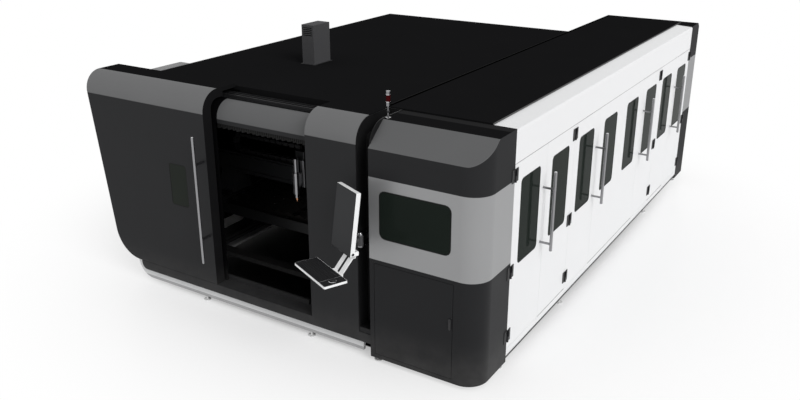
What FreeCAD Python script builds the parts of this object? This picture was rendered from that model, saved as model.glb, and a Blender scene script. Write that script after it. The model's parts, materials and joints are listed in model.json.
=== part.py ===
import FreeCAD, Part
import math
import os

# Enclosed fibre laser cutter for sheet and tube, in millimetres.
# While a piece is being drawn, x = 0 is the right edge of the front fascia panel, y = 0 is
# the front plane of the hood and z = 0 is the floor.  +X runs right along the front, +Y runs
# to the rear and +Z is up.  save() then moves every piece so that the origin lies on the
# floor under the middle of the machine.

# ---- fits and stock -----------------------------------------------------------------
SKIN = 30.0              # depth of a folded sheet cassette
PANE = 8.0               # laser-safe glass
PANE_CLEAR = 0.5         # glass edge to its frame
PANE_SET = 2.0           # glass face behind the skin's face
REBATE = 12.0            # shoulder that the glass lies on
RUN_CLEAR = 0.3          # faces that slide on each other
PIN_CLEAR = 0.05         # radial clearance of a pin in its bore
PIN_SIDES = 12           # small pins and their bores are drawn with this many flats
CORNER_CHORDS = 4        # straight pieces in each quarter round of a small corner
SEAM = 4.0               # shut line round a door
PLATE = 12.0

# ---- main body ----------------------------------------------------------------------
FOOT_GAP = 45.0          # floor to the underside of the body
FOOT_PAD = 10.0
FOOT_RADIUS = 38.0
FOOT_STEM = 12.0
BODY_WIDTH = 2930.0      # left wall to the right edge of the fascia
BODY_DEPTH = 5030.0      # front plane to the rear wall's outer face
HOOD_TOP = 2245.0
HOOD_RADIUS = 210.0
HOOD_DEPTH = 465.0       # front plane to the rear edge of the hood's top
FLANGE_DEPTH = 110.0     # return flanges of the sliding door
CROWN_DEPTH = 90.0       # the same flanges below the hood's top
CROWN_END = 285.0        # where they stop, ahead of the track
EAVE_DEPTH = 40.0
ROOF_DROP = 25.0         # main roof below the hood's top
ROOF_DEEP = 40.0
ROOF_GAP = 5.0           # hood's rear edge to the roof's front edge
ROOF_SHEET = 6.0
ROOF_RIBS = 5
WALL_ROUND = 70.0        # round between the left wall and the roof
CASING_SET = 30.0        # plinth face behind the front plane
CASING_END = 30.0        # plinth's right end past the fascia

# ---- front: skirt, header, track, fascia, groove ------------------------------------
SKIRT_LOW = 150.0
SKIRT_TOP = 240.0
SKIRT_LEFT = 80.0        # skirt's left end inside the left wall
SKIRT_CORNER = 70.0
LEDGE = 4.0
SILL_BACK = 160.0
SILL_WIDTH = 26.0
SILL_HEIGHT = 45.0
SILL_RUN = 1050.0
HEADER_FACE = 127.0
HEADER_TOP = 2136.0
HEADER_RADIUS = 165.0
HEADER_SHEET = 20.0
DOORWAY_TOP = 1930.0
DOORWAY_LAP = 20.0       # doorway's left edge under the open door's end
PANEL_WIDTH = 539.0
GROOVE_WIDTH = 142.0
GROOVE_SILL = 296.0
GROOVE_BACK = 150.0
GROOVE_WALL = 14.0
GROOVE_LIP = 6.0         # channel's front edges behind the hood's surface
CHEEK_SHEET = 5.0
GROOVE_END = 65.0        # channel's rear end behind the hood's rear edge
TRACK_FRONT = 324.0
TRACK_RIBS = 3
TRACK_PITCH = 46.0
TRACK_RIB = 12.0
TRACK_HEIGHT = 29.0

# ---- sliding door -------------------------------------------------------------------
DOOR_GAP = 5.0           # closed door to the fascia panel
DOOR_TRAVEL = 1205.0
DOOR_WIDTH = 1667.0      # along its top edge
DOOR_LOW = 247.0
DOOR_RAKE = 7.2          # lean of its left edge, degrees
DOOR_CORNER = 330.0
WINDOW_WIDTH = 235.0
WINDOW_HEIGHT = 445.0
WINDOW_RIGHT = 296.0     # window's right edge to the door's right edge
WINDOW_LOW = 1020.0
WINDOW_CORNER = 30.0
HANDLE_INSET = 51.0
HANDLE_LOW = 521.0
HANDLE_LENGTH = 1312.0
HANDLE_POSTS = (777.0, 1556.0)
HANDLE_STAND = 110.0
HANDLE_RADIUS = 14.0
HANDLE_POST = 8.0        # half the thickness of a square post
SHOE_OFFSETS = (150.0, 950.0)
SHOE_LENGTH = 110.0
SHOE_WIDTH = 36.0
SHOE_GRIP = 20.0         # how far a shoe reaches down over its rib

# ---- booth along the right side -----------------------------------------------------
BOOTH_WIDTH = 1085.0     # from the groove to the outer side
BOOTH_LENGTH = 5686.0    # between the two end cabinets
CAB_DEPTH = 558.0
CAB_PROUD = 21.0
CAB_TOP = 2232.0
CAB_WALL = 25.0
CAB_CORNER = 200.0
BAND_LOW = 1031.0
BAND_HIGH = 1787.0
CHAMFER_LOW = 2034.0
CHAMFER_BACK = 239.0
BOOTH_ROOF = 15.0
BOOTH_ROOF_LAP = 237.0   # roof plate over the rear cabinet
BOOTH_ROOF_LEFT = 30.0
STRIP_WIDTH = 211.0      # pale strip between the roof plate and the side
STRIP_FALL = 12.0
STRIP_LAP = 26.0
STRIP_SHEET = 14.0
STRIP_ROUND = 18.0
SIDE_WALL = 40.0
SIDE_SEAM = 1926.0
SIDE_REVEAL = 30.0       # frame's stop behind a door's edge
SIDE_STOP = 32.0
TOE_HEIGHT = 60.0
TOE_SET = 24.0
KICK_SEAM = 170.0
SEAM_DEPTH = 3.0
VIEW_LEFT = 103.0        # cabinet window from the cabinet's left side
VIEW_WIDTH = 697.0
VIEW_LOW = 1239.0
VIEW_HEIGHT = 444.0
VIEW_CORNER = 60.0
CABLE_PORT_WIDTH = 420.0  # opening from the booth into the rear cabinet
CABLE_PORT_HEIGHT = 320.0
CABLE_PORT_LOW = 1200.0

# ---- cabinet door and its lock ------------------------------------------------------
DOOR_LEFT_POST = 45.0
CAB_DOOR_WIDTH = 788.0
CAB_DOOR_LOW = 85.0
CAB_DOOR_TOP = 995.0
CAB_DOOR_THICK = 22.0
CAB_PIVOT_X = 14.0       # pivot from the door's edge and from its face
CAB_PIVOT_Y = 8.0
CAB_PIN = 5.0
CAB_PIN_LENGTH = 14.0
LOCK_INSET = 25.0
LOCK_MIDDLE = 617.0
LOCK_HEIGHT = 105.0
LOCK_WIDTH = 24.0
LOCK_THICK = 10.0
LOCK_SHAFT = 8.0
CAM_REACH = 30.0
CAM_GAP = 3.0            # between the cam and the strip it locks behind
STOP_STRIP = 4.0

# ---- hinged side doors --------------------------------------------------------------
BAY_SHIFT = 38.5         # inner hinge lines past the even bays, away from the middle
SIDE_DOOR_WIDTH = 700.0
SIDE_DOOR_LOW = 115.0
SIDE_DOOR_THICK = 32.0
SIDE_DOOR_RIM = 28.0
SIDE_DOOR_SKIN = 16.0
SIDE_GLASS_LOW = 959.0
SIDE_GLASS_HEIGHT = 799.0
SIDE_GLASS_WIDTH = 420.0
SIDE_GLASS_CORNER = 45.0
GRIP_INSET = 65.0
GRIP_LOW = 921.0
GRIP_LENGTH = 767.0
GRIP_POSTS = (987.0, 1525.0)
GRIP_STAND = 112.0
GRIP_SIDES = 16
HINGE_LEVELS = (252.0, 882.0, 1771.0)
HINGE_HEIGHT = 118.0
HINGE_LEAF = 34.0
HINGE_PLATE = 6.0
HINGE_PIN = 5.0
HINGE_SIDES = 8          # flats on a hinge's barrel
HINGE_BARREL = 9.0
HINGE_GAP = 0.5

# ---- operator panel, drawn square on and then turned about its swivel ---------------
ARM_YAW = -25.0
ARM_X = 70.0
ARM_Y = -50.0
BRACKET_LOW = 1135.0
BRACKET_HEIGHT = 120.0
LUG = 12.0
LUG_WIDTH = 60.0
BOSS_RADIUS = 26.0
SWIVEL_PIN = 12.0
ARM_WIDTH = 30.0
ARM_HEIGHT = 34.0
YOKE_BAR = 20.0
CHEEK = 6.0
SCREEN_SHIFT = 72.0      # monitor's middle to the right of the swivel
SCREEN_WIDTH = 330.0
SCREEN_HEIGHT = 560.0
SCREEN_THICK = 42.0
SCREEN_RIM = 4.0
SCREEN_GLASS = 5.0
SCREEN_LEAN = 7.6
TILT_REACH = 215.0       # swivel to the tilt axis
TILT_LEVEL = 1205.0
TILT_RISE = 27.0         # tilt axis above the monitor's lower edge
TILT_PIN = 8.0
TILT_DEPTH = 14.0
LINK_WIDTH = 58.0
LINK_THICK = 6.0
LINK_SHIFTS = (36.0, 118.0)
LINK_KNEE = 1156.0
LINK_KNUCKLE = 9.0
TRAY_WIDTH = 540.0
TRAY_DEPTH = 218.0
TRAY_THICK = 20.0
TRAY_REACH = 325.0
TRAY_LEVEL = 1030.0
TRAY_CORNER = 12.0
TRAY_HINGE = 14.0        # hinge axis behind the tray's back edge
TRAY_PIN = 4.0
KEYPAD_LEFT = 26.0
KEYPAD_WIDTH = 400.0
KEYPAD_DEPTH = 150.0
KEYPAD_THICK = 8.0
KEYPAD_SINK = 5.0
BUTTON_RADIUS = 24.0
BUTTON_SIDES = 16
BUTTON_STEM = 9.0
BUTTON_THICK = 10.0
BUTTON_RISE = 6.0
BUTTON_INSET = 62.0

# ---- stack light and exhaust --------------------------------------------------------
LAMP_X = 30.0            # from the cabinet's left side
LAMP_Y = 268.0           # from the cabinet's front
LAMP_FOOT = 24.0
LAMP_FOOT_HEIGHT = 8.0
LAMP_STEM = 7.0
LAMP_STEM_HEIGHT = 100.0
LAMP_RADIUS = 19.0
LAMP_CUP = 34.0
LAMP_LENS = 66.0
LAMP_CAP = 28.0
LAMP_SIDES = 24
DUCT_LEFT = 1117.0       # exhaust from the left wall
DUCT_WIDTH = 157.0
DUCT_FRONT = 1615.0
DUCT_DEPTH = 290.0
DUCT_HEIGHT = 425.0
DUCT_WALL = 8.0
DUCT_FLANGE = 20.0
DUCT_LOUVRES = 5
LOUVRE_PITCH = 20.0

# ---- machine bed, gantry and head ---------------------------------------------------
BED_LEFT = 2400.0        # middle of each side beam, left of x = 0
BED_RIGHT = 420.0
BED_BEAM = 200.0
BED_WALL = 25.0
BED_FRONT = 560.0
BED_LENGTH = 4300.0
BED_TOP = 830.0
BED_LOW = 280.0
BED_PORTS = 5
PORT_WIDTH = 560.0
PORT_HEIGHT = 300.0
PORT_CORNER = 48.0
LEG = 160.0
CROSS_LOW = 245.0
CROSS_HEIGHT = 50.0
CROSS_WIDTH = 120.0
RUNNER_LEVEL = 300.0
RUNNER = 30.0
RAIL_WIDTH = 34.0
RAIL_HEIGHT = 30.0
RACK = 24.0
RACK_SHIFT = 60.0
GANTRY_Y = 1050.0
GANTRY_LEFT = 2560.0
GANTRY_RIGHT = 960.0
BEAM_DEPTH = 180.0
BEAM_LOW = 1080.0
BEAM_HEIGHT = 220.0
SADDLE_FOOT = 290.0
SADDLE_LIFT = 15.0       # saddle's underside above the bed
X_RAIL = 20.0
X_RAIL_DEEP = 12.0
X_RAIL_EDGE = 20.0
CARRIAGE_X = -1350.0
CARRIAGE_WIDTH = 260.0
CARRIAGE_PLATE = 42.0
CARRIAGE_GAP = 3.0
CARRIAGE_LOW = 16.0      # carriage above the beam's lower edge
MOTOR_WIDTH = 120.0
MOTOR_HEIGHT = 190.0
HEAD_PLATE = 24.0
HEAD_WIDTH = 150.0
HEAD_LOW = 1110.0
HEAD_HEIGHT = 290.0
HEAD_RADIUS = 42.0
HEAD_BODY = 230.0
COLLIMATOR = 28.0
COLLIMATOR_HEIGHT = 150.0
NOZZLE_TIP = 960.0
NOZZLE_LENGTH = 44.0
NOZZLE_TOP = 16.0
CHAIN_PITCH = 84.0
CHAIN_LINK = 62.0
CHAIN_WIDTH = 80.0
CHAIN_THICK = 36.0
CHAIN_BAND = 14.0
CHAIN_BEND = 87.0
CHAIN_LEFT = -2250.0     # centre of the chain's bend
CHAIN_LOWER = 1400.0
CHAIN_UPPER = 850.0

# ---- slat table and scrap drawer ----------------------------------------------------
TABLE_FRONT = 700.0
SLAT_PITCH = 160.0
SLAT_COUNT = 20
COMB_THICK = 36.0
COMB_LOW = 690.0
COMB_TOP = 800.0
SLAT_THICK = 6.0
SLAT_HEIGHT = 105.0
SLAT_SEAT = 738.0
SLAT_TOOTH = 30.0
SLAT_TEETH = 13
SLAT_END = 6.0
SLOT_CLEAR = 0.2
DRAWER_LENGTH = 2900.0
DRAWER_HEIGHT = 240.0
DRAWER_WALL = 8.0
DRAWER_CLEAR = 6.0
DRAWER_FRONT = 278.0     # height of its front plate
DRAWER_FRONT_LOW = 312.0
DRAWER_PULL = 260.0

# ---- tube unit in the booth ---------------------------------------------------------
TUBE_X = 620.0
TUBE_LEVEL = 790.0
TUBE_BED_WIDTH = 300.0
TUBE_BED_LOW = 160.0
TUBE_BED_TOP = 500.0
TUBE_BED_FRONT = 750.0
TUBE_BED_INSET = 173.0   # its rear end inside the booth's rear end
TUBE_RAIL = 20.0
CHUCK_WIDTH = 380.0
CHUCK_DEPTH = 150.0
CHUCK_TOP = 1020.0
CHUCK_CORNER = 120.0
FRONT_CHUCK_Y = 1450.0
REAR_CHUCK_Y = 3200.0
RING_RADIUS = 170.0
RING_NECK = 120.0
RING_CLEAR = 0.1         # radial, in its bearing
RING_BORE = 62.0
RING_THICK = 46.0
RING_FLATS = 16
JAW_WIDTH = 44.0
JAW_THICK = 30.0
JAW_INNER = 74.0
JAW_OUTER = 152.0
SHOE_PLATE = 55.0
SHOE_LIFT = 5.0

# ---- boxes --------------------------------------------------------------------------
SOURCE_WIDTH = 520.0
SOURCE_DEPTH = 400.0
SOURCE_HEIGHT = 430.0
SERVICE_WIDTH = 170.0
SERVICE_FRONT = 500.0
SERVICE_DEPTH = 550.0
SERVICE_TOP = 2195.0
SERVICE_ROUND = 20.0

# ---- places that follow from the sizes ----------------------------------------------
LEFT = -BODY_WIDTH
ROOF_TOP = HOOD_TOP - ROOF_DROP
ROOF_LOW = ROOF_TOP - ROOF_DEEP
ROOF_FRONT = HOOD_DEPTH + ROOF_GAP
ROOF_LEFT = LEFT + WALL_ROUND
LEDGE_TOP = SKIRT_TOP + LEDGE
CASING_CORNER = SKIRT_TOP - FOOT_GAP
CASING_HEIGHT = SKIRT_TOP
DOOR_RIGHT = -PANEL_WIDTH - DOOR_GAP - DOOR_TRAVEL
DOOR_LEFT = DOOR_RIGHT - DOOR_WIDTH
DOORWAY_LEFT = DOOR_RIGHT + DOORWAY_LAP
CHANNEL_END = HOOD_DEPTH + GROOVE_END
CAB_LEFT = GROOVE_WIDTH
CAB_RIGHT = GROOVE_WIDTH + BOOTH_WIDTH
CAB_FRONT = -CAB_PROUD
SIDE_FRONT = CAB_FRONT + CAB_DEPTH
SIDE_REAR = SIDE_FRONT + BOOTH_LENGTH
SIDE_MIDDLE = (SIDE_FRONT + SIDE_REAR) / 2
FIXED_BAY = (BOOTH_LENGTH - 4 * SIDE_DOOR_WIDTH) / 4
INNER_HINGE = SIDE_DOOR_WIDTH + FIXED_BAY + BAY_SHIFT
INNER_GLASS = (FIXED_BAY + BAY_SHIFT) / 2
OUTER_GLASS = (INNER_HINGE + BOOTH_LENGTH / 2 - SIDE_DOOR_WIDTH) / 2
FIXED_GLASS = (-OUTER_GLASS, -INNER_GLASS, INNER_GLASS, OUTER_GLASS)
TUBE_BED_LENGTH = SIDE_REAR - TUBE_BED_INSET - TUBE_BED_FRONT
REAR_FACE = SIDE_REAR + CAB_DEPTH
ROOF_EDGE = CAB_RIGHT - STRIP_WIDTH
GRIP_REACH = CAB_RIGHT + GRIP_STAND + HANDLE_RADIUS
BED_X = (-BED_LEFT, -BED_RIGHT)
BED_INNER_LEFT = -BED_LEFT + BED_BEAM / 2
BED_INNER_RIGHT = -BED_RIGHT - BED_BEAM / 2
TABLE_LENGTH = SLAT_PITCH * SLAT_COUNT
RAIL_TOP = BED_TOP + RAIL_HEIGHT
BEAM_FACE = GANTRY_Y - BEAM_DEPTH / 2
CARRIAGE_BACK = BEAM_FACE - CARRIAGE_GAP
CARRIAGE_FRONT = CARRIAGE_BACK - CARRIAGE_PLATE
HEAD_BACK = CARRIAGE_FRONT - RUN_CLEAR
HEAD_FRONT = HEAD_BACK - HEAD_PLATE
HEAD_Y = HEAD_FRONT - HEAD_RADIUS
YAW = math.radians(ARM_YAW)
TRAY_FRONT = (ARM_Y - (TRAY_REACH + TRAY_DEPTH) * math.cos(YAW)
              + (SCREEN_SHIFT + TRAY_WIDTH / 2) * math.sin(YAW))
CENTRE_X = (DOOR_LEFT + GRIP_REACH) / 2
CENTRE_Y = (TRAY_FRONT + REAR_FACE) / 2

# name, hinge line and running direction of each hinged side door
SIDE_DOORS = (
    ("side_door_1", SIDE_FRONT + SEAM / 2, 1),
    ("side_door_2", SIDE_MIDDLE - INNER_HINGE, 1),
    ("side_door_3", SIDE_MIDDLE + INNER_HINGE, -1),
    ("side_door_4", SIDE_REAR - SEAM / 2, -1),
)


# ---- drawing helpers ----------------------------------------------------------------
def vec(x, y, z):
    return FreeCAD.Vector(x, y, z)


def block(x0, x1, y0, y1, z0, z1):
    return Part.makeBox(x1 - x0, y1 - y0, z1 - z0, vec(x0, y0, z0))


def rod_y(x, y0, y1, z, radius):
    return Part.makeCylinder(radius, y1 - y0, vec(x, y0, z), vec(0, 1, 0))


def rod_z(x, y, z0, z1, radius):
    return Part.makeCylinder(radius, z1 - z0, vec(x, y, z0))


def save(name, shape):
    placed = shape.copy()
    placed.translate(vec(-CENTRE_X, -CENTRE_Y, 0))
    placed.exportStep("parts/" + name + ".step")


def flats(a, b, radius, sides):
    # corners of a regular prism's section, with a flat turned to each axis
    steps = []
    for number in range(sides):
        turn = (number + 0.5) * 2 * math.pi / sides
        steps.append((a + radius * math.cos(turn), b + radius * math.sin(turn)))
    return steps


def bore_flats(a, b, radius, sides):
    # the same where the flats, not the corners, lie at the radius, as in a hole
    return flats(a, b, radius / math.cos(math.pi / sides), sides)


def fused(shapes):
    return shapes[0].fuse(shapes[1:]).removeSplitter()


def outline_face(steps, place):
    # the first step is the start; each other one is the end of a line, or a
    # (through, end) pair of points for an arc
    edges = []
    here = steps[0]
    for step in steps[1:] + [steps[0]]:
        if isinstance(step[0], tuple):
            through, end = step
            edges.append(Part.Arc(place(*here), place(*through), place(*end)).toShape())
            here = end
        elif math.dist(here, step) > 1e-6:
            edges.append(Part.LineSegment(place(*here), place(*step)).toShape())
            here = step
    return Part.Face(Part.Wire(edges))


def along_x(steps, x0, x1):
    return outline_face(steps, lambda y, z: vec(x0, y, z)).extrude(vec(x1 - x0, 0, 0))


def along_y(steps, y0, y1):
    return outline_face(steps, lambda x, z: vec(x, y0, z)).extrude(vec(0, y1 - y0, 0))


def along_z(steps, z0, z1):
    return outline_face(steps, lambda x, y: vec(x, y, z0)).extrude(vec(0, 0, z1 - z0))


def round_mid(centre_a, centre_b, radius, sign_a, sign_b):
    # middle of a quarter round, on the side that the two signs give
    reach = radius * math.sqrt(0.5)
    return (centre_a + sign_a * reach, centre_b + sign_b * reach)


def rounded(a0, a1, b0, b1, radius):
    # rectangle whose corner rounds are made of short chords
    steps = []
    centres = ((a1 - radius, b1 - radius), (a0 + radius, b1 - radius),
               (a0 + radius, b0 + radius), (a1 - radius, b0 + radius))
    for quarter, (a, b) in enumerate(centres):
        for chord in range(CORNER_CHORDS + 1):
            turn = (quarter + chord / CORNER_CHORDS) * math.pi / 2
            steps.append((a + radius * math.cos(turn), b + radius * math.sin(turn)))
    return steps


def clipped(a0, a1, b0, b1, corner):
    # rectangle with its corners cut off at 45 degrees
    return [(a0 + corner, b0), (a1 - corner, b0), (a1, b0 + corner), (a1, b1 - corner),
            (a1 - corner, b1), (a0 + corner, b1), (a0, b1 - corner), (a0, b0 + corner)]


def hood_band(face_y, top_z, radius, thick, low_z, rear_y):
    # section of a sheet that rises from low_z, turns over a round and runs back to rear_y
    inner = radius - thick
    centre_y = face_y + radius
    centre_z = top_z - radius
    return [
        (face_y, low_z), (face_y, centre_z),
        (round_mid(centre_y, centre_z, radius, -1, 1), (centre_y, top_z)),
        (rear_y, top_z), (rear_y, top_z - thick), (centre_y, top_z - thick),
        (round_mid(centre_y, centre_z, inner, -1, 1), (face_y + thick, centre_z)),
        (face_y + thick, low_z),
    ]


def flange_section(low_z, depth, crown_depth):
    # side view of a return flange: full depth up the face, shallower under the crown, and
    # only an eave over the track
    inner = HOOD_RADIUS - FLANGE_DEPTH
    crown = HOOD_TOP - crown_depth
    eave = HOOD_TOP - EAVE_DEPTH
    turn = crown - inner
    return [
        (0, low_z), (0, HOOD_TOP - HOOD_RADIUS),
        (round_mid(HOOD_RADIUS, HOOD_TOP - HOOD_RADIUS, HOOD_RADIUS, -1, 1),
         (HOOD_RADIUS, HOOD_TOP)),
        (HOOD_DEPTH, HOOD_TOP), (HOOD_DEPTH, eave), (CROWN_END, eave), (CROWN_END, crown),
        (HOOD_RADIUS, crown),
        (round_mid(HOOD_RADIUS, turn, inner, -1, 1), (FLANGE_DEPTH, turn)),
        (FLANGE_DEPTH, turn - inner), (depth, turn - 2 * inner), (depth, low_z),
    ]


def hood_pan(outer, inset, left, right, low_z, depth):
    # hood skin cut to an outline, with return flanges round its edges, open at the back
    skin = along_x(hood_band(0, HOOD_TOP, HOOD_RADIUS, SKIN, low_z, HOOD_DEPTH), left, right)
    flange = along_x(flange_section(low_z, depth, CROWN_DEPTH), left, right)
    rim = flange.common(outer).cut(inset)
    return fused([skin.common(outer), rim])


def glass_pocket_y(x0, x1, z0, z1, radius, face_y, wall):
    # recess for a flush pane in a wall that faces -Y, and the sight hole behind it
    clear = PANE_CLEAR
    seat = face_y + PANE_SET + PANE
    pocket = along_y(rounded(x0 - clear, x1 + clear, z0 - clear, z1 + clear, radius),
                     face_y - 1, seat)
    sight = along_y(clipped(x0 + REBATE, x1 - REBATE, z0 + REBATE, z1 - REBATE,
                            radius / 2), seat - 1, face_y + wall + 1)
    return pocket.fuse(sight)


def glass_pane_y(x0, x1, z0, z1, radius, face_y):
    return along_y(rounded(x0, x1, z0, z1, radius), face_y + PANE_SET,
                   face_y + PANE_SET + PANE)


def glass_pocket_x(middle, face_x, wall):
    # the same for a side window: its face looks to +X
    half = SIDE_GLASS_WIDTH / 2
    clear = PANE_CLEAR
    low = SIDE_GLASS_LOW
    high = SIDE_GLASS_LOW + SIDE_GLASS_HEIGHT
    seat = face_x - PANE_SET - PANE
    pocket = along_x(rounded(middle - half - clear, middle + half + clear, low - clear,
                             high + clear, SIDE_GLASS_CORNER), seat, face_x + 1)
    sight = along_x(clipped(middle - half + REBATE, middle + half - REBATE, low + REBATE,
                            high - REBATE, SIDE_GLASS_CORNER / 2),
                    face_x - wall - 1, seat + 1)
    return pocket.fuse(sight)


def glass_pane_x(middle, face_x):
    half = SIDE_GLASS_WIDTH / 2
    return along_x(rounded(middle - half, middle + half, SIDE_GLASS_LOW,
                           SIDE_GLASS_LOW + SIDE_GLASS_HEIGHT, SIDE_GLASS_CORNER),
                   face_x - PANE_SET - PANE, face_x - PANE_SET)


# ---- feet, plinth and walls ---------------------------------------------------------
def bed_leg_rows():
    first = BED_FRONT + LEG / 2
    step = (BED_LENGTH - LEG) / 2
    return [first, first + step, first + 2 * step]


def levelling_feet():
    inset = CAB_WALL * 2
    plinth_y = CASING_SET + SKIN / 2
    side_x = CAB_RIGHT - SIDE_WALL
    places = [(x, y) for x in BED_X for y in bed_leg_rows()]
    places += [(TUBE_X, y) for y in tube_leg_rows()]
    places += [(CAB_LEFT + inset, CAB_FRONT + inset), (CAB_RIGHT - inset, SIDE_FRONT - inset)]
    places += [(CAB_LEFT + inset, REAR_FACE - inset), (CAB_RIGHT - inset, SIDE_REAR + inset)]
    places += [(side_x, SIDE_MIDDLE - INNER_HINGE), (side_x, SIDE_MIDDLE + INNER_HINGE)]
    places += [(LEFT + BODY_WIDTH / 3, plinth_y), (LEFT + BODY_WIDTH * 0.8, plinth_y)]
    feet = []
    for x, y in places:
        pad = along_z(flats(x, y, FOOT_RADIUS, 8), 0, FOOT_PAD)
        stem = along_z(flats(x, y, FOOT_STEM, 6), FOOT_PAD, FOOT_GAP)
        feet.append(fused([pad, stem]))
    save("levelling_feet", Part.makeCompound(feet))


def base_casing():
    # plinth across the front and, in one with it, the turn up into the left wall
    inner = CASING_CORNER - SKIN
    centre_x = LEFT + CASING_CORNER
    centre_z = FOOT_GAP + CASING_CORNER
    corner = (round_mid(centre_x, centre_z, CASING_CORNER, -1, -1), (centre_x, FOOT_GAP))
    plinth = along_y([(CASING_END, FOOT_GAP), (CASING_END, centre_z), (LEFT, centre_z), corner],
                     CASING_SET, CASING_SET + SKIN)
    foot = centre_x + CASING_CORNER
    turn = along_y([
        (LEFT, CASING_HEIGHT), (LEFT, centre_z), corner, (foot, FOOT_GAP),
        (foot, FOOT_GAP + SKIN), (centre_x, FOOT_GAP + SKIN),
        (round_mid(centre_x, centre_z, inner, -1, -1), (LEFT + SKIN, centre_z)),
        (LEFT + SKIN, CASING_HEIGHT)], CASING_SET + SKIN, BODY_DEPTH)
    save("base_casing", fused([plinth, turn]))


def service_box():
    # closed housing on the outside of the left wall
    x1 = LEFT
    x0 = x1 - SERVICE_WIDTH
    rear = SERVICE_FRONT + SERVICE_DEPTH
    turn = SERVICE_ROUND
    return along_z([
        (x1, SERVICE_FRONT), (x0 + turn, SERVICE_FRONT),
        (round_mid(x0 + turn, SERVICE_FRONT + turn, turn, -1, -1), (x0, SERVICE_FRONT + turn)),
        (x0, rear - turn), (round_mid(x0 + turn, rear - turn, turn, -1, 1), (x0 + turn, rear)),
        (x1, rear)], CASING_HEIGHT, SERVICE_TOP)


def left_wall():
    inner = WALL_ROUND - SKIN
    centre_z = ROOF_TOP - WALL_ROUND
    wall = along_y([
        (LEFT, CASING_HEIGHT), (LEFT, centre_z),
        (round_mid(ROOF_LEFT, centre_z, WALL_ROUND, -1, 1), (ROOF_LEFT, ROOF_TOP)),
        (ROOF_LEFT, ROOF_TOP - SKIN),
        (round_mid(ROOF_LEFT, centre_z, inner, -1, 1), (LEFT + SKIN, centre_z)),
        (LEFT + SKIN, CASING_HEIGHT)], ROOF_FRONT, BODY_DEPTH)
    header_turn = HEADER_FACE + HEADER_RADIUS
    front = along_x([
        (HEADER_FACE, CASING_HEIGHT), (HEADER_FACE, HEADER_TOP - HEADER_RADIUS),
        (round_mid(header_turn, HEADER_TOP - HEADER_RADIUS, HEADER_RADIUS, -1, 1),
         (header_turn, HEADER_TOP)),
        (ROOF_FRONT, HEADER_TOP), (ROOF_FRONT, CASING_HEIGHT)], LEFT, LEFT + SKIN)
    save("left_wall", fused([wall, front, service_box()]))


def rear_wall():
    # closes the main body, steps back beside the booth and turns in to the rear cabinet
    foot = LEFT + 2 * CASING_CORNER
    shoulder = ROOF_TOP - WALL_ROUND
    back = along_y([
        (foot, FOOT_GAP), (0, FOOT_GAP), (0, ROOF_LOW), (ROOF_LEFT, ROOF_LOW),
        (ROOF_LEFT, shoulder), (LEFT + SKIN, shoulder), (LEFT + SKIN, CASING_HEIGHT),
        (foot, CASING_HEIGHT)], BODY_DEPTH - SKIN, BODY_DEPTH)
    hatch_low = DRAWER_FRONT_LOW - DRAWER_CLEAR
    hatch_top = DRAWER_FRONT_LOW + DRAWER_FRONT + DRAWER_CLEAR
    hatch = block(BED_INNER_LEFT, BED_INNER_RIGHT, 0, BODY_DEPTH, hatch_low, hatch_top)
    step = block(-BOOTH_ROOF_LEFT, 0, BODY_DEPTH, SIDE_REAR, FOOT_GAP, ROOF_TOP)
    cheek = block(0, CAB_LEFT, SIDE_REAR - SKIN, SIDE_REAR, FOOT_GAP, ROOF_TOP)
    save("rear_wall", fused([back.cut(hatch), step, cheek]))


def booth_roof():
    # the raised roof plate over the booth and the lip that joins it to the main roof
    rear = SIDE_REAR + BOOTH_ROOF_LAP
    plate = block(-BOOTH_ROOF_LEFT, ROOF_EDGE, CHANNEL_END, rear, CAB_TOP, CAB_TOP + BOOTH_ROOF)
    lip = block(-BOOTH_ROOF_LEFT, -BOOTH_ROOF_LEFT + BOOTH_ROOF, CHANNEL_END, SIDE_REAR,
                ROOF_TOP, CAB_TOP)
    return [plate, lip]


def main_roof():
    length = BODY_DEPTH - ROOF_FRONT
    sheet = block(ROOF_LEFT, 0, ROOF_FRONT, BODY_DEPTH, ROOF_LOW, ROOF_TOP)
    sheet = sheet.cut(block(ROOF_LEFT + PLATE, -PLATE, ROOF_FRONT + PLATE, BODY_DEPTH - PLATE,
                            ROOF_LOW, ROOF_TOP - ROOF_SHEET))
    pieces = [sheet]
    for rib in range(1, ROOF_RIBS + 1):
        y = ROOF_FRONT + rib * length / (ROOF_RIBS + 1)
        pieces.append(block(ROOF_LEFT + PLATE, -PLATE, y - PLATE / 2, y + PLATE / 2,
                            ROOF_LOW, ROOF_TOP - ROOF_SHEET))
    left = LEFT + DUCT_LEFT
    bore = block(left + DUCT_WALL, left + DUCT_WIDTH - DUCT_WALL, DUCT_FRONT + DUCT_WALL,
                 DUCT_FRONT + DUCT_DEPTH - DUCT_WALL, ROOF_LOW - 1, ROOF_TOP + 1)
    save("main_roof", fused([fused(pieces).cut(bore)] + booth_roof()))


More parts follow.
